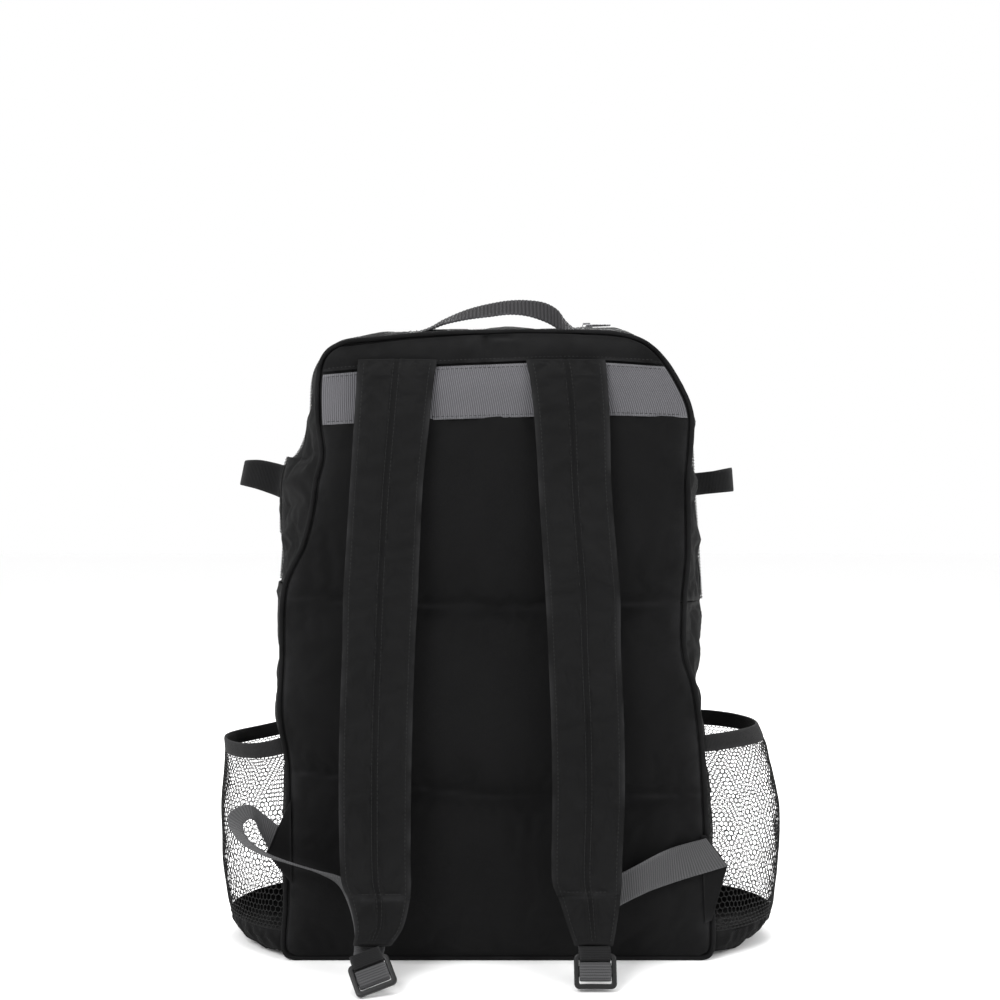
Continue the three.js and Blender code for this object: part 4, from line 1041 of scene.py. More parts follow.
# Harness
# stations from the yoke down: height, middle of the left and of the right strap, width, how far
# it stands off and padding, as shares of the sizes below
strapSetup = {
    "width": 62, "padding": 11, "standOff": 58, "around": 52, "steps": 230, "seamDepth": 2.0,
    "pressure": 5.0, "surplus": 0.03, "cap": 2.0, "crossSeam": {"left": 67, "right": 69},
    "rows": [
        (0.957, -0.464, 0.313, 1.08, 0, 0.42), (0.93, -0.472, 0.325, 1.05, 0.055, 0.6),
        (0.865, -0.486, 0.34, 1.02, 0.15, 0.95), (0.752, -0.511, 0.353, 0.98, 0.24, 1),
        (0.641, -0.527, 0.375, 0.99, 0.32, 1), (0.588, -0.534, 0.386, 1, 0.35, 0.9),
        (0.5, -0.542, 0.393, 0.97, 0.39, 1), (0.385, -0.552, 0.406, 0.97, 0.45, 1),
        (0.276, -0.555, 0.409, 0.96, 0.52, 1), (0.15, -0.545, 0.399, 0.92, 0.66, 1),
        (0.122, -0.53, 0.411, 0.8, 0.71, 0.85), (0.082, -0.53, 0.42, 0.62, 0.82, 0.7),
        (0.064, -0.553, 0.423, 0.5, 1, 0.5)],
    # creases over the strap: height, share across, half width, depth, reach across
    "creases": {
        "left": [(352, 0.6, 5, -1.6, 0.6), (300, -0.7, 6, -1.0, 0.5), (236, 0.8, 5, -1.0, 0.4),
                 (150, -0.8, 5, -0.9, 0.4)],
        "right": [(311, -0.9, 4, -2.4, 0.6), (296, -0.85, 5, 1.4, 0.4), (202, -0.9, 4, -2.4, 0.7),
                  (188, -0.8, 6, 1.3, 0.5), (214, 0.9, 5, -1.6, 0.4), (360, 0.8, 6, -1.0, 0.5)]},
}
tabFace = halfDepth + bodySetup["gap"] + bodySetup["panelEdge"] + 3 * bodySetup["gap"]
tabThickness = 2.2


def strapLine(side):
    rows = strapSetup["rows"]
    column = {"left": 1, "right": 2}[side]
    half = bodySetup["halfWidth"]
    topHeight = rows[0][0] * bodySetup["seamHeight"]
    middle = rows[0][column] * half / (2 * half) + 0.5
    seats = frontOfPanel(np.array([middle - 0.085, middle, middle + 0.085]), [topHeight] * 3,
                         bodySetup["gap"] + 1.6)
    root = seats[:, 1].min() - bodySetup["gap"] - rows[0][5] * strapSetup["padding"] * 0.93 / 2
    track = [(row[column] * half, root - row[4] * strapSetup["standOff"],
              row[0] * bodySetup["seamHeight"]) for row in rows]
    sizes = [(row[3] * strapSetup["width"] / 2, row[5] * strapSetup["padding"] / 2, row[0])
             for row in rows]
    ts = np.linspace(0, 1, strapSetup["steps"])
    return throughPoints(track, ts), throughPoints(sizes, ts)


def strapSection(shares):
    # Half thickness round the section: full across the middle, falling away to nothing at the edges; the
    # middle seam is pressed in later, on the front face.
    away = np.abs(shares)
    pad = np.clip((1 - away ** 2.6), 0, 1) ** 0.5
    return pad


def makeStrap(side):
    track, sizes = strapLine(side)
    steps, around = strapSetup["steps"], strapSetup["around"]
    ahead = np.gradient(track, axis=0)
    ahead[:, 0] = 0
    ahead = unit(ahead)
    facing = np.stack([np.zeros(steps), ahead[:, 2], -ahead[:, 1]], -1)
    front = np.linspace(-1, 1, around)
    # denser columns at the edges and at the middle seam
    front = front + 0.06 * np.sin(2 * math.pi * front)
    cross = strapSetup["crossSeam"][side]
    heights = track[:, 2]

    def face(sign):
        pad = strapSection(front)[None]
        binding = 0.16 + 0.10 * (np.abs(front) > 0.9)
        height = np.maximum(pad * 0.94, binding) * sizes[:, 1:2]
        if sign > 0:
            middle = np.exp(-(front * sizes[:, :1] / 1.1) ** 2)
            height = height - middle * strapSetup["seamDepth"] * np.clip(
                (heights[:, None] - 30) / 30, 0, 1)
            height = height + 0.9 * np.exp(-((np.abs(front) * sizes[:, :1] - 3.4) / 1.8) ** 2)
            for at, across, width, depth, reach in strapSetup["creases"][side]:
                slant = (front[None] - across) * 6
                away = heights[:, None] - at - slant
                height = height + depth * np.exp(-(away / width) ** 2) * np.exp(
                    -((front - across) / reach) ** 2)
            height = height - 1.6 * np.exp(-((heights[:, None] - cross) / 1.2) ** 2) \
                - 0.8 * (heights[:, None] < cross)
        binds = np.exp(-((1 - np.abs(front)) * sizes[:, :1] - 4.2) ** 2 / 0.9)
        return height - 0.5 * binds

    grids = []
    for sign, order in ((1, 1), (-1, -1)):
        height = face(sign)
        grid = track[:, None] + np.array([1.0, 0, 0]) * (front[None] * sizes[:, :1])[..., None] \
            - facing[:, None] * (-sign * height)[..., None]
        grids.append(grid[:, ::order])
    grid = np.concatenate([grids[0], grids[1][:, 1:-1]], axis=1)
    columns = grid.shape[1]
    edge = np.concatenate([front, front[::-1][1:-1]])
    isFront = np.concatenate([np.ones(around), np.zeros(around - 2)])
    grid = grid + (rippled(grid, 13.0, 12) * 0.22)[..., None] * np.array([0, -1.0, 0])
    # arc places: across from the middle, along the strap
    walked = np.concatenate([[0], np.cumsum(np.linalg.norm(np.diff(track, axis=0), axis=1))])
    places = np.stack([edge[None] * sizes[:, :1] * 1.06 + 0 * walked[:, None],
                       walked[:, None] + 0 * edge[None]], -1)
    rub = np.clip(np.exp(-(1 - np.abs(edge)) * 12), 0, 1)[None] * np.ones((steps, 1))
    rub = np.maximum(rub, 0.7 * np.exp(-((heights[:, None] - cross) / 2.5) ** 2) * isFront[None])
    faces = gridFaces(steps, columns, closedColumns=True)
    faces += [tuple(range(columns)), tuple(range(steps * columns - 1, (steps - 1) * columns - 1, -1))]
    piece = outwards(meshFrom(f"shoulderStrap_{side}", grid.reshape(-1, 3), faces, "strapCloth",
                              places.reshape(-1, 2), rub.ravel()))
    pins = np.zeros((steps, columns))
    pins[:3] = pins[-3:] = 1
    pins[:, np.abs(np.abs(edge) * 31 - 27) < 1.6] = 1
    pins[:, np.abs(edge) > 0.97] = 1
    pins[:, (np.abs(edge) < 0.045) & (isFront > 0)] = 1
    pins = np.maximum(pins, (np.abs(heights[:, None] - cross) < 2.0) * isFront[None])
    settleCloth(piece, pins.ravel(), strapSetup["pressure"], strapSetup["surplus"], strapSetup["cap"])
    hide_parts(f"shoulder_strap_{side}")
    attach(piece, "bag")
    # rows of stitches: beside both edges, beside the middle seam and across the foot
    lines, normals = [], []
    for share in (-0.865, 0.865, -0.075, 0.075):
        column = int(np.argmin(np.abs(front - share)))
        lines.append(grid[4:-2, column])
        normals.append(facing[4:-2])
    row = int(np.argmin(np.abs(heights - cross - 3)))
    lines.append(grid[row, 4:around - 4])
    normals.append(np.repeat(facing[row][None], around - 8, 0))
    bodyThread(f"strapStitches_{side}", lines, normals)


def harnessPoint(x, stand, z):
    seat = tabFace + tabThickness + bodySetup["gap"] + 0.75
    return np.array([x * bodySetup["halfWidth"], -(seat + stand * strapSetup["standOff"]),
                     z * bodySetup["seamHeight"]])


buckleSetup = {
    "length": 27, "rim": 4, "thickness": 3.6, "webbing": 25, "web": 1.5,
    # two ends of each buckle and the reach of its loop
    "left": ((-0.5731, 1.188, 0.0455), (-0.5137, 1.498, 0.0094), 0.237),
    "right": ((0.4264, 1.119, 0.0534), (0.4264, 1.274, 0.0056), 0.156),
    # the webbing's way through the buckle: down and to the front, as shares
    "threading": [(0.037, -1.39), (0.333, -1.085), (0.63, -1.03), (0.752, -0.445), (0.748, 0.333),
                  (0.681, 0.86), (0.481, 0.89), (0.311, 0.805), (0.274, 0.333), (0.274, -0.167)],
}
# edge points of the lower webbing, outer then inner, from its tab to the buckle
webbingRows = {
    "left": [((-1.02, 0, 0.2171), (-1.066, 0, 0.1786)), ((-1.09, -0.0069, 0.2357), (-1.098, 0.0759, 0.2068)),
             ((-1.159, -0.019, 0.25), (-1.127, 0.266, 0.235)),
             ((-1.245, -0.019, 0.2378), (-1.162, 0.317, 0.2293)),
             ((-1.253, -0.0103, 0.2199), (-1.162, 0.352, 0.218)),
             ((-1.22, 0.0069, 0.2002), (-1.138, 0.386, 0.2058)),
             ((-1.173, 0.0328, 0.1861), (-1.104, 0.421, 0.1966)),
             ((-1.125, 0.0586, 0.178), (-1.074, 0.455, 0.1912)),
             ((-1.079, 0.0672, 0.1711), (-1.044, 0.472, 0.1852)),
             ((-0.9615, 0.0759, 0.1592), (-0.9412, 0.49, 0.172)),
             ((-0.8297, 0.128, 0.1466), (-0.8159, 0.541, 0.1607)),
             ((-0.7341, 0.231, 0.1306), (-0.7115, 0.576, 0.1523)),
             ((-0.6813, 0.352, 0.1015), (-0.5824, 0.541, 0.1222)),
             ((-0.6484, 0.576, 0.07143), (-0.5137, 0.628, 0.08271)),
             ((-0.6401, 0.852, 0.05263), (-0.5027, 0.869, 0.05451))],
    "right": [((0.967, 0, 0.1974), (1.065, 0, 0.1528)), ((0.794, 0.11, 0.1838), (0.8033, 0.11, 0.1293)),
              ((0.65, 0.283, 0.165), (0.6593, 0.283, 0.1165)),
              ((0.4868, 0.403, 0.1372), (0.5165, 0.421, 0.09305)),
              ((0.3846, 0.524, 0.1071), (0.489, 0.559, 0.07707)),
              ((0.3571, 0.714, 0.07143), (0.4934, 0.731, 0.06673))],
}
tabSetup = {
    "left": [(-0.964, 0.2575), (-1.08, 0.1739), (-0.9593, 0.1246)],
    "right": [(0.948, 0.2011), (0.967, 0.2011), (1.0687, 0.1532), (0.9945, 0.0658), (0.9632, 0.062)],
}


def buckleFrame(side):
    top, foot = (harnessPoint(*point) for point in buckleSetup[side][:2])
    up = unit(top - foot)
    ahead = unit(np.cross([1.0, 0, 0], up))
    across = np.cross(up, ahead)
    return top, across, up, ahead


def inBuckle(side, points):
    top, across, up, ahead = buckleFrame(side)
    points = np.asarray(points, float)
    return top + points[..., :1] * across + points[..., 1:2] * up + points[..., 2:] * ahead


def ribbonGrid(first, second, thickness, steps, across, closed=False, bow=0.0, roundness=0.5):
    # A tape between two edge lines: a flat section with rounded edges.
    ts = np.linspace(0, 1, steps, endpoint=not closed)
    a, b = throughPoints(first, ts, closed), throughPoints(second, ts, closed)
    if closed:
        way = np.roll(a + b, -1, 0) - np.roll(a + b, 1, 0)
    else:
        way = np.gradient(a + b, axis=0)
    normal = unit(np.cross(b - a, way))
    shares = np.linspace(0, 1, across)
    edge = np.minimum(shares, 1 - shares) * np.linalg.norm(b - a, axis=1).mean()
    half = thickness / 2 * (1 - np.exp(-(edge / (thickness * roundness)) ** 1.2) * 0.55)
    middle = a[:, None] * (1 - shares)[None, :, None] + b[:, None] * shares[None, :, None]
    middle = middle + normal[:, None] * (bow * np.sin(math.pi * shares))[None, :, None]
    upper = middle + normal[:, None] * half[None, :, None]
    lower = middle - normal[:, None] * half[None, :, None]
    grid = np.concatenate([upper, lower[:, ::-1]], axis=1)
    walked = np.concatenate([[0], np.cumsum(np.linalg.norm(np.diff((a + b) / 2, axis=0), axis=1))])
    wide = np.linalg.norm(b - a, axis=1).mean()
    places = np.stack(np.meshgrid(np.concatenate([shares, shares[::-1]]) * wide, walked), -1)[..., ::-1]
    rub = np.exp(-np.concatenate([edge, edge[::-1]]) / 1.1)[None] * np.ones((steps, 1))
    return grid, places, rub, normal


def tapePiece(name, first, second, thickness, material, steps, across=22, closed=False,
              bow=0.0, ribs=0.0, ribPitch=2.0, node=None):
    grid, places, rub, normal = ribbonGrid(first, second, thickness, steps, across, closed, bow)
    if ribs:
        # ribs across the tape stand proud of both faces
        wave = np.abs(np.sin(math.pi * places[..., 0] / ribPitch)) ** 0.7 - 0.6
        side = np.concatenate([np.ones(across), -np.ones(across)])
        grid = grid + normal[:, None] * (ribs * wave * side[None])[..., None]
    columns = grid.shape[1]
    faces = gridFaces(steps, columns, closedRows=closed, closedColumns=True)
    if not closed:
        faces += [tuple(range(columns)), tuple(range(steps * columns - 1, (steps - 1) * columns - 1, -1))]
    piece = outwards(meshFrom(name, grid.reshape(-1, 3), faces, material,
                              places.reshape(-1, 2), rub.ravel()))
    if node:
        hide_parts(node)
    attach(piece, "bag")
    return piece


def makeLowerWebbing(side):
    half = buckleSetup["webbing"] / 2
    long, thick = buckleSetup["length"], buckleSetup["thickness"]
    edges = []
    for column, x in ((0, -half), (1, half)):
        led = [harnessPoint(*row[column]) for row in webbingRows[side]]
        led += list(inBuckle(side, [(x, -down * long, front * thick)
                                    for down, front in buckleSetup["threading"]]))
        edges.append(led)
    tapePiece(f"lowerWebbing_{side}", edges[0], edges[1], buckleSetup["web"], "plainWebbing",
              420 if side == "left" else 300, 26, ribs=0.09, ribPitch=2.1,
              node=f"lower_webbing_{side}")


def makeBuckleLoop(side):
    reach = buckleSetup[side][2] * buckleSetup["length"]
    gap = 0.3 + buckleSetup["web"] / 2
    high, rim = buckleSetup["thickness"] / 2 + gap, buckleSetup["rim"]
    path = [(reach, high * 0.6), (0, high), (-rim * 0.85, high), (-rim - gap * 0.85, high * 0.75),
            (-rim - gap, 0), (-rim - gap * 0.85, -high * 0.75), (-rim * 0.85, -high), (0, -high),
            (reach, -high * 0.6)]
    half = buckleSetup["webbing"] / 2
    edges = [inBuckle(side, [(x, y, z) for y, z in path]) for x in (-half, half)]
    tapePiece(f"buckleLoop_{side}", edges[0], edges[1], buckleSetup["web"], "blackElastic",
              90, 20, closed=True, node=f"buckle_loop_{side}")


def barGrid(x0, x1, y, z, wide, high, steps=14, around=14, bow=0.0):
    # A rounded bar across the buckle.
    turns = np.linspace(0, 2 * math.pi, around, endpoint=False)
    xs = np.linspace(x0, x1, steps)
    power = 0.7
    cy = np.sign(np.cos(turns)) * np.abs(np.cos(turns)) ** power * wide / 2
    cz = np.sign(np.sin(turns)) * np.abs(np.sin(turns)) ** power * high / 2
    lift = bow * (1 - ((xs - x0) / (x1 - x0) * 2 - 1) ** 2)
    grid = np.zeros((steps, around, 3))
    grid[..., 0] = xs[:, None]
    grid[..., 1] = y + cy[None]
    grid[..., 2] = z + cz[None] + lift[:, None]
    return grid


def makeLadderLock(side):
    # Moulded frame with rounded corners, three bars, the middle one ribbed for grip.
    length, rim, thick = (buckleSetup[key] for key in ("length", "rim", "thickness"))
    inside = (buckleSetup["webbing"] + 0.9) / 2
    half = inside + rim
    # side rails: a bevelled loop round the outline
    corner = 4.2
    outline = []
    for cx, cy, start in ((half - corner, -corner, 0), (-half + corner, -corner, 90),
                          (-half + corner, -length + corner, 180), (half - corner, -length + corner, 270)):
        for step in range(9):
            angle = math.radians(start + step * 90 / 8)
            outline.append((cx + corner * math.cos(angle), cy + corner * math.sin(angle)))
    outline = np.array(outline)
    inner = []
    for cx, cy, start in ((inside - 1.2, -rim - 1.2, 0), (-inside + 1.2, -rim - 1.2, 90),
                          (-inside + 1.2, -length + rim + 1.2, 180),
                          (inside - 1.2, -length + rim + 1.2, 270)):
        for step in range(9):
            angle = math.radians(start + step * 90 / 8)
            inner.append((cx + 1.2 * math.cos(angle), cy + 1.2 * math.sin(angle)))
    inner = np.array(inner)
    section = [(0.0, -0.32), (0.07, -0.45), (0.22, -0.5), (0.78, -0.5), (0.93, -0.45), (1.0, -0.32),
               (1.0, 0.32), (0.93, 0.45), (0.78, 0.5), (0.22, 0.5), (0.07, 0.45), (0.0, 0.32)]
    grid = np.zeros((len(outline), len(section), 3))
    for j, (share, lift) in enumerate(section):
        ring = outline * (1 - share) + inner * share
        grid[:, j, :2] = ring
        grid[:, j, 2] = lift * thick
    points = [grid.reshape(-1, 3)]
    faces = gridFaces(len(outline), len(section), closedRows=True, closedColumns=True)
    offset = len(points[0])
    bars = [barGrid(-inside - 0.8, inside + 0.8, -(rim + 5 + 4.5), 0, 8.6, thick * 0.94, bow=0.35)]
    bars += [barGrid(-inside + 1, inside - 1, -(rim + 5 + 4.5) + shift, thick * 0.45, 1.1, 1.0, bow=0.35)
             for shift in (-2.8, 0, 2.8)]
    for bar in bars:
        rows, columns = bar.shape[:2]
        points.append(bar.reshape(-1, 3))
        faces += gridFaces(rows, columns, closedColumns=True, offset=offset)
        faces += [tuple(range(offset, offset + columns)),
                  tuple(range(offset + rows * columns - 1, offset + (rows - 1) * columns - 1, -1))]
        offset += rows * columns
    flat = inBuckle(side, np.vstack(points))
    piece = outwards(meshFrom(f"ladderLock_{side}", flat, faces, "buckleBlack",
                              np.zeros((len(flat), 2)), np.zeros(len(flat))))
    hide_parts(f"ladder_lock_{side}")
    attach(piece, "bag")


def makeTab(side):
    # A folded triangle of body cloth with rounded edges, sewn along its rim.
    corners = np.array([(x * bodySetup["halfWidth"], z * bodySetup["seamHeight"])
                        for x, z in tabSetup[side]])
    ring = []
    for i, corner in enumerate(corners):
        following = corners[(i + 1) % len(corners)]
        ring += [corner + (following - corner) * s for s in np.linspace(0, 1, 16, endpoint=False)]
    ring = np.array(ring)
    middle = ring.mean(0)
    levels = [(1.0, 0.5), (0.985, 0.12), (0.95, 0.0), (0.86, 0.12), (0.82, 0.2), (0.78, 0.08),
              (0.4, -0.05), (0.02, 0.0)]
    grids = []
    for sign in (1, -1):
        rows = []
        for share, sunk in levels:
            flat = middle + (ring - middle) * share
            y = -(tabFace + tabThickness / 2) - sign * (tabThickness / 2) * (1 - sunk)
            rows.append(np.stack([flat[:, 0], np.full(len(ring), y), flat[:, 1]], -1))
        grids.append(np.array(rows))
    points = np.vstack([grids[0].reshape(-1, 3), grids[1].reshape(-1, 3)])
    count, total = len(ring), len(levels) * len(ring)
    faces = gridFaces(len(levels), count, closedColumns=True)
    faces += gridFaces(len(levels), count, closedColumns=True, offset=total, flip=True)
    faces += [(j, (j + 1) % count, (j + 1) % count + total, j + total) for j in range(count)]
    faces += [tuple(range(total - count, total)), tuple(range(2 * total - 1, 2 * total - count - 1, -1))]
    rub = np.tile(np.repeat([1.0, 0.9, 0.6, 0.2, 0.3, 0.1, 0, 0], count), 2)
    piece = outwards(meshFrom(f"webbingTab_{side}", points, faces, "polyester",
                              points[:, [0, 2]], rub))
    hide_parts(f"webbing_tab_{side}")
    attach(piece, "bag")


for strapSide in ("left", "right"):
    makeStrap(strapSide)
    makeLowerWebbing(strapSide)
    makeBuckleLoop(strapSide)
    makeLadderLock(strapSide)
    makeTab(strapSide)
print("harness ready")

# Haul handle, bat loops and pockets
handleSetup = {
    "width": 25, "thickness": 2.4, "span": 130, "rise": 17.5, "depth": 0.125, "ribPitch": 3.3,
    # x as a share of half the span, rise, roll as shares
    "rows": [(-1.2, 0, 0), (-1.06, 0, 0), (-0.9, 0.16, 0.02), (-0.72, 0.45, 0.1), (-0.4, 0.78, 0.28),
             (-0.12, 0.95, 0.38), (0.16, 1.08, 0.42), (0.4, 1.05, 0.5), (0.64, 0.84, 0.62),
             (0.8, 0.52, 0.6), (0.91, 0.2, 0.3), (1.04, 0, 0), (1.16, 0, 0)],
}
loopSetup = {
    "reach": 38, "width": 22, "thickness": 1.5,
    "height": {"left": 401, "right": 409}, "tilt": {"left": 15, "right": 1},
    # share of the depth, share of the reach
    "rows": [(0.4, 0), (0.43, 0), (0.445, 0.1), (0.44, 0.55), (0.455, 0.86), (0.515, 1),
             (0.58, 0.86), (0.6, 0.55), (0.595, 0.1), (0.61, 0), (0.64, 0)],
}
pocketSetup = {
    "bulge": 55, "height": 190, "back": 0.015, "front": 0.8, "netPitch": 4.7, "netCord": 0.85,
    "droop": {"left": 12, "right": 0},
    # height, and swell on the left and on the right
    "rows": [(0.068, 0.03, 0.03), (0.045, 0.5, 0.55), (0.055, 0.9, 0.98), (0.085, 0.98, 1.08),
             (0.125, 1, 1.12), (0.42, 1.05, 1.17), (0.7, 1.07, 1.12), (0.93, 1, 0.95),
             (1, 0.98, 0.86)],
}


def makeHandle():
    half = handleSetup["width"] / 2
    edges = []
    for sign in (-1, 1):
        line = []
        for x, rise, roll in handleSetup["rows"]:
            depth = handleSetup["depth"] + sign * half * math.sqrt(1 - roll ** 2) / bodySetup["depth"]
            lift = 0.3 + handleSetup["thickness"] / 2 + rise * handleSetup["rise"] + sign * roll * half
            line.append(shell(atReach(x * handleSetup["span"] / 2), depth, lift)[0])
        edges.append(line)
    # the handle's webbing colour is grey webbing darkened as painted shade
    tapePiece("haulHandle", edges[0], edges[1], handleSetup["thickness"] * 0.8, "handleWebbingPaintedShade",
              900, 22, ribs=0.5, ribPitch=handleSetup["ribPitch"],
              node="haul_handle")


def makeBatLoop(side):
    setup = loopSetup
    edges = []
    for step in (1, -1):
        level = setup["height"][side] + step * setup["width"] / 2
        line = []
        for depth, out in setup["rows"]:
            lift = 0.6 + setup["thickness"] / 2 + out * setup["reach"]
            point = shell(atHeight(side, level), depth, lift)[0]
            point[2] += (level - point[2]) * out + out * setup["tilt"][side]
            line.append(point)
        edges.append(line)
    tapePiece(f"batLoop_{side}", edges[0], edges[1], setup["thickness"] * 0.94, "blackElastic",
              220, 26, ribs=0.05, ribPitch=1.3, node=f"bat_loop_{side}")


def pocketSurface(side, us, vs):
    column = {"left": 1, "right": 2}[side]
    uu, vv = np.broadcast_arrays(us, vs)
    shape = uu.shape
    uu, vv = uu.ravel(), vv.ravel()
    rows = [(row[column] * pocketSetup["bulge"], 0, row[0] * pocketSetup["height"])
            for row in pocketSetup["rows"]]
    profile = throughPoints(rows, vv)
    swell = profile[:, 0] * np.sin(math.pi * np.clip(uu, 0, 1)) ** 0.6
    depth = pocketSetup["back"] + (pocketSetup["front"] - pocketSetup["back"]) * uu
    point = shell(atHeight(side, profile[:, 2]), depth, 0.9 + swell)
    share = np.minimum(1, swell / pocketSetup["bulge"])
    point[:, 2] += (profile[:, 2] - point[:, 2]) * share
    hang = (profile[:, 2] / pocketSetup["height"]) ** 2
    point[:, 2] -= pocketSetup["droop"][side] * hang * share
    return point.reshape(*shape, 3)


def pocketGrid(side, us, vs, outward=0.0):
    uu, vv = np.meshgrid(us, vs)
    grid = pocketSurface(side, uu, vv)
    step = 0.004
    u0, v0 = np.clip(uu, step, 1 - step), np.clip(vv, step, 1 - step)
    across = pocketSurface(side, u0 + step, v0) - pocketSurface(side, u0 - step, v0)
    up = pocketSurface(side, u0, v0 + step) - pocketSurface(side, u0, v0 - step)
    sign = {"left": -1, "right": 1}[side]
    normal = unit(np.cross(across, up)) * -sign
    return grid + normal * outward, normal


def makePocketCloth(side):
    rows = len(pocketSetup["rows"]) - 1
    # base: gathered cup of body cloth
    us, vs = np.linspace(0, 1, 150), np.linspace(0.002, 4 / rows + 0.004, 44)
    grid, normal = pocketGrid(side, us, vs, 1.6)
    gather = np.sin(us * 2 * math.pi * 17 + 1.5 * np.sin(us * 23)) * (0.5 + 0.5 * np.sin(us * 61))
    high = np.clip((vs - vs[0]) / (vs[-1] - vs[0]), 0, 1)
    ease = np.clip(np.minimum(us, 1 - us) * 14, 0, 1)
    depth = (gather[None] * np.exp(-((1 - high[:, None]) / 0.4) ** 2) * 0.9
             + gather[None, ::-1] * np.exp(-(high[:, None] / 0.4) ** 2) * 1.1) * ease[None]
    depth += (rippled(grid, 16.0, 13) * 1.4 + rippled(grid, 6.0, 14) * 0.5) * ease[None]
    hem = np.exp(-((1 - high[:, None]) / 0.05) ** 2) * 0.9
    outer = grid + normal * (depth + hem)[..., None]
    outer[..., 2] = np.maximum(outer[..., 2], 3.0)
    inner = outer - normal * 1.4
    piece = sheetFrom(f"pocketBase_{side}", outer, "polyester", inner,
                      0.8 * np.exp(-(1 - high[:, None]) * 9) * np.ones((1, len(us))))
    pins = np.zeros((2, *grid.shape[:2]))
    pins[:, :, :2] = pins[:, :, -2:] = 1
    pins[:, :3] = pins[:, -3:] = 1
    settleCloth(piece, pins.ravel(), 2.0, 0.03, 1.8)
    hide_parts(f"pocket_base_{side}")
    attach(piece, "bag")
    # hem: doubled elastic
    us, vs = np.linspace(0, 1, 190), np.linspace(7 / rows - 0.004, 1, 26)
    grid, normal = pocketGrid(side, us, vs, 0.0)
    high = np.clip((vs - vs[0]) / (vs[-1] - vs[0]), 0, 1)
    edge = np.minimum(high, 1 - high) * 14
    thick = 1.3 * (1 - 0.6 * np.exp(-(edge / 0.9) ** 1.3))
    sew = 0.35 * np.exp(-((high * 14 - 2.2) / 0.5) ** 2) + 0.35 * np.exp(-((high * 14 - 11.8) / 0.5) ** 2)
    ripple = rippled(grid, 12.0, 15) * 0.35
    outer = grid + normal * (1.3 + thick[:, None] - sew[:, None] + ripple)[..., None]
    inner = grid + normal * (1.3 - thick[:, None] + ripple)[..., None]
    piece = sheetFrom(f"pocketHem_{side}", outer, "blackElastic", inner,
                      np.exp(-edge / 1.0)[:, None] * np.ones((1, len(us))))
    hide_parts(f"pocket_hem_{side}")
    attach(piece, "bag")
    rows = [round(share * (len(vs) - 1)) for share in (0.16, 0.84)]
    bodyThread(f"hemStitches_{side}", outer[rows], normal[rows], 2.2, 0.22)


def makeNet(side):
    # Knitted net: six-sided holes, their cords thickened into a mesh.
    rows = len(pocketSetup["rows"]) - 1
    low, high = 4 / rows - 0.004, 7 / rows + 0.006
    us, vs = np.linspace(0, 1, 240), np.linspace(low, high, 120)
    lining = pocketGrid(side, us, vs, 0.75)[0]
    acrossLength = np.linalg.norm(np.diff(lining, axis=1), axis=2).sum(1).mean()
    upLength = np.linalg.norm(np.diff(lining, axis=0), axis=2).sum(0).mean()
    walked = np.linalg.norm(np.diff(lining, axis=1), axis=2).mean(0)
    walked = np.concatenate([[0], np.cumsum(walked)]) / walked.sum()
    pitch = pocketSetup["netPitch"]
    columns = int(round(acrossLength / pitch))
    cellRows = int(round(upLength / (pitch * 0.8)))
    wide, tall = 1.0 / columns, 1.0 / cellRows
    corners = {}
    points, faces = [], []

    def corner(a, b):
        key = (round(a * 4), round(b * 6))
        if key not in corners:
            corners[key] = len(points)
            points.append((a, b))
        return corners[key]
    for row in range(cellRows + 1):
        for column in range(columns + 1):
            a, b = column + (row % 2) * 0.5, float(row)
            ring = [(a, b + 2 / 3), (a + 0.5, b + 1 / 3), (a + 0.5, b - 1 / 3), (a, b - 2 / 3),
                    (a - 0.5, b - 1 / 3), (a - 0.5, b + 1 / 3)]
            ring = [(min(max(p, 0.0), columns), min(max(q, 0.0), cellRows)) for p, q in ring]
            ids = []
            for p, q in ring:
                index = corner(p, q)
                if index not in ids:
                    ids.append(index)
            area = 0.0
            for i in range(len(ids)):
                (x0, y0), (x1, y1) = points[ids[i]], points[ids[(i + 1) % len(ids)]]
                area += x0 * y1 - x1 * y0
            if len(ids) > 2 and abs(area) > 0.05:
                faces.append(ids)
    flat = np.array(points)
    u = np.interp(flat[:, 0] * wide, walked, us)
    v = low + (high - low) * flat[:, 1] * tall
    # cells pull a little out of true, more where the net hangs loose
    inside = np.clip(np.minimum(flat[:, 0], columns - flat[:, 0]) / 3, 0, 1) * np.clip(
        np.minimum(flat[:, 1], cellRows - flat[:, 1]) / 3, 0, 1)
    spot = np.stack([flat[:, 0] * pitch, flat[:, 1] * pitch, 0 * u], -1)
    u = u + (rippled(spot, 30.0, 16) * 0.008 + rippled(spot, 9.0, 17) * 0.0022) * inside
    v = v + (rippled(spot, 34.0, 18) * 0.006 + rippled(spot, 9.0, 19) * 0.0016) * inside
    place = pocketSurface(side, u, v)
    across = (pocketSurface(side, np.clip(u + 0.004, 0, 1), v)
              - pocketSurface(side, np.clip(u - 0.004, 0, 1), v))
    up = pocketSurface(side, u, v + 0.004) - pocketSurface(side, u, v - 0.004)
    normals = unit(np.cross(across, up)) * -{"left": -1, "right": 1}[side]
    place = place + normals * (0.8 + 1.3 * rippled(place, 24.0, 18) * inside)[:, None]
    piece = meshFrom(f"pocketNet_{side}", place, faces, "netCord",
                     np.zeros((len(place), 2)), np.zeros(len(place)))
    applyModifier(piece, "WIREFRAME", thickness=pocketSetup["netCord"] / 1000, use_even_offset=True,
                  use_boundary=True, use_replace=True, offset=0.0)
    piece.data.materials.clear()
    piece.data.materials.append(materials["netCord"])
    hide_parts(f"pocket_net_{side}")
    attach(piece, "bag")
    print(f"net {side}: {len(piece.data.polygons)} faces")


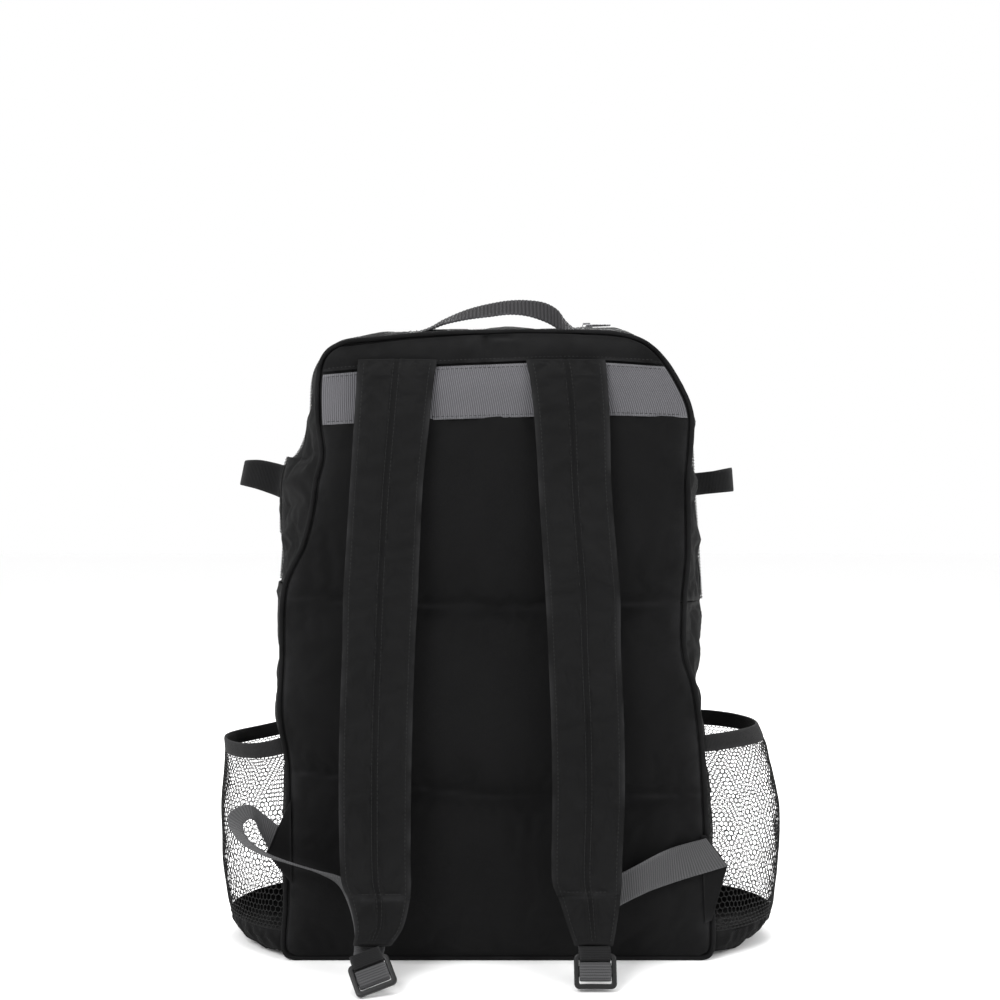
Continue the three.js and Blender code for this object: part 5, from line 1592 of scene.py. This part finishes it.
makeHandle()
for carrySide in ("left", "right"):
    makeBatLoop(carrySide)
    makePocketCloth(carrySide)
    makeNet(carrySide)
print("bat carry ready")


# Zip
zipSetup = {"tape": 13, "tapeTop": -0.4, "toothPitch": 2.6}


def zipLine(outward, side=0.0, count=900):
    ts = np.linspace(rimMarks["zipLeft"] + 0.0006, rimMarks["zipRight"] - 0.0006, count)
    depth = bodySetup["zipPlace"] + side / bodySetup["depth"]
    return shell(ts, depth, outward), shellOut(ts, 1)[:, 0]


def makeZip():
    # tape, pulled flat, a little sunk beside the coil
    ts = np.linspace(rimMarks["zipLeft"] + 0.0006, rimMarks["zipRight"] - 0.0006, 380)
    half = zipSetup["tape"] / 2
    depths = bodySetup["zipPlace"] + np.linspace(-half, half, 20) / bodySetup["depth"]
    grid = shellGrid(ts, depths, -0.55)
    out = shellOut(ts, 20)
    grid = grid + out * (rippled(grid, 8.0, 19) * 0.12)[..., None]
    edge = (half - np.abs(np.linspace(-half, half, 20)))[None] * np.ones((380, 1))
    tape = sheetFrom("zipTape", grid, "zipTape", grid - out * 1.4,
                     0.4 * np.exp(-edge / 1.0))
    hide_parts("zip_tape")
    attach(tape, "bag")
    # coil: two rows of hooked teeth, one tooth on each side in turn
    line, out = zipLine(zipSetup["tapeTop"] + 0.35, count=2400)
    walked = np.concatenate([[0], np.cumsum(np.linalg.norm(np.diff(line, axis=0), axis=1))])
    places = np.arange(1.0, walked[-1] - 1.0, zipSetup["toothPitch"] / 2)
    shape = np.array([(2.35, 0.0), (2.5, 0.5), (2.1, 1.1), (1.0, 1.45), (-0.2, 1.35), (-0.75, 0.8),
                      (-0.5, 0.25)])
    turns = np.linspace(0, 2 * math.pi, 6, endpoint=False)
    points, faces, offset = [], [], 0
    for number, at in enumerate(places):
        sign = 1 if number % 2 else -1
        middle = np.array([np.interp(at, walked, line[:, k]) for k in range(3)])
        ahead = unit(np.array([np.interp(at + 0.5, walked, line[:, k]) for k in range(3)]) - middle)
        up = np.array([np.interp(at, walked, out[:, k]) for k in range(3)])
        across = np.array([0, 1.0, 0]) * sign
        path = middle + shape[:, :1] * across + shape[:, 1:] * up
        way = unit(np.gradient(path, axis=0))
        side = np.repeat(ahead[None], len(path), 0)
        other = np.cross(way, side)
        ring = (np.cos(turns)[None, :, None] * side[:, None] + np.sin(turns)[None, :, None]
                * other[:, None]) * 0.42
        points.append((path[:, None] + ring).reshape(-1, 3))
        faces += gridFaces(len(path), 6, closedColumns=True, offset=offset)
        faces += [tuple(range(offset, offset + 6)),
                  tuple(range(offset + 6 * len(path) - 1, offset + 6 * len(path) - 7, -1))]
        offset += 6 * len(path)
    flat = np.vstack(points)
    coil = outwards(meshFrom("zipCoil", flat, faces, "coilBlack",
                             np.zeros((len(flat), 2)), np.zeros(len(flat))))
    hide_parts("zip_coil")
    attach(coil, "bag")


def bevelledCopy(name, node, body, material, width, segments):
    # The solid's own shape with its edges rounded as castings have them.
    source = nodes[node]
    piece = bpy.data.objects.new(name, source.data.copy())
    bpy.context.scene.collection.objects.link(piece)
    piece.parent = None
    piece.matrix_world = source.matrix_world.copy()
    made = bmesh.new()
    made.from_mesh(piece.data)
    bmesh.ops.remove_doubles(made, verts=made.verts, dist=1e-6)
    bmesh.ops.dissolve_limit(made, angle_limit=math.radians(4), verts=made.verts, edges=made.edges)
    made.to_mesh(piece.data)
    made.free()
    applyModifier(piece, "BEVEL", width=width / 1000, segments=segments, limit_method="ANGLE",
                  angle_limit=math.radians(35))
    piece.data.materials.clear()
    piece.data.materials.append(materials[material])
    piece.data.polygons.foreach_set("use_smooth", [True] * len(piece.data.polygons))
    piece.data.update()
    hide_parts(node)
    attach(piece, body)
    return piece


makeZip()
bevelledCopy("zipSlider", "zip_slider", "bag", "platedZinc", 0.35, 3)
bevelledCopy("zipPull", "zip_pull", "zip_pull", "platedZinc", 0.32, 3)
print("zip ready")


# Stitching round the body: zip, band, yoke and handle
def makeBodyStitches():
    # both sides of the zip, through the gussets
    lines, normals = [], []
    ts = np.linspace(rimMarks["zipLeft"] + 0.002, rimMarks["zipRight"] - 0.002, 700)
    for side in (-10.4, 10.4):
        depth = bodySetup["zipPlace"] + side / bodySetup["depth"]
        lines.append(shell(ts, depth, 0.35))
        normals.append(shellOut(ts, 1)[:, 0])
    bodyThread("zipStitches", lines, normals)
    # band's two edges
    us = np.linspace(0.012, 0.988, 260)
    facing = np.tile([0.0, -1.0, 0.0], (len(us), 1))
    lines = []
    for level, inset in (("bandLow", 2.4), ("bandHigh", -2.4)):
        heights = acrossPanel(panelSetup[level], us) + inset
        lines.append(frontOfPanel(us, heights, 2.05))
    bodyThread("bandStitches", lines, [facing] * 2, 3.0, 0.22)
    # yoke's lower edge
    heights = acrossPanel(panelSetup["yokeLow"], us) + 2.6
    bodyThread("yokeStitches", [frontOfPanel(us, heights, 3.0)], [facing])
    # handle's feet, two bars each
    lines, normals = [], []
    for sign in (-1, 1):
        for x in (70.5, 75.5):
            depths = handleSetup["depth"] + np.linspace(-10.5, 10.5, 30) / bodySetup["depth"]
            t = atReach(sign * x)
            lines.append(shell(t, depths, 0.3 + handleSetup["thickness"] + 0.1))
            normals.append(shellOut(np.full(30, float(t)), 1)[:, 0])
    bodyThread("handleStitches", lines, normals, 2.0, 0.3)


makeBodyStitches()
print("stitching ready")
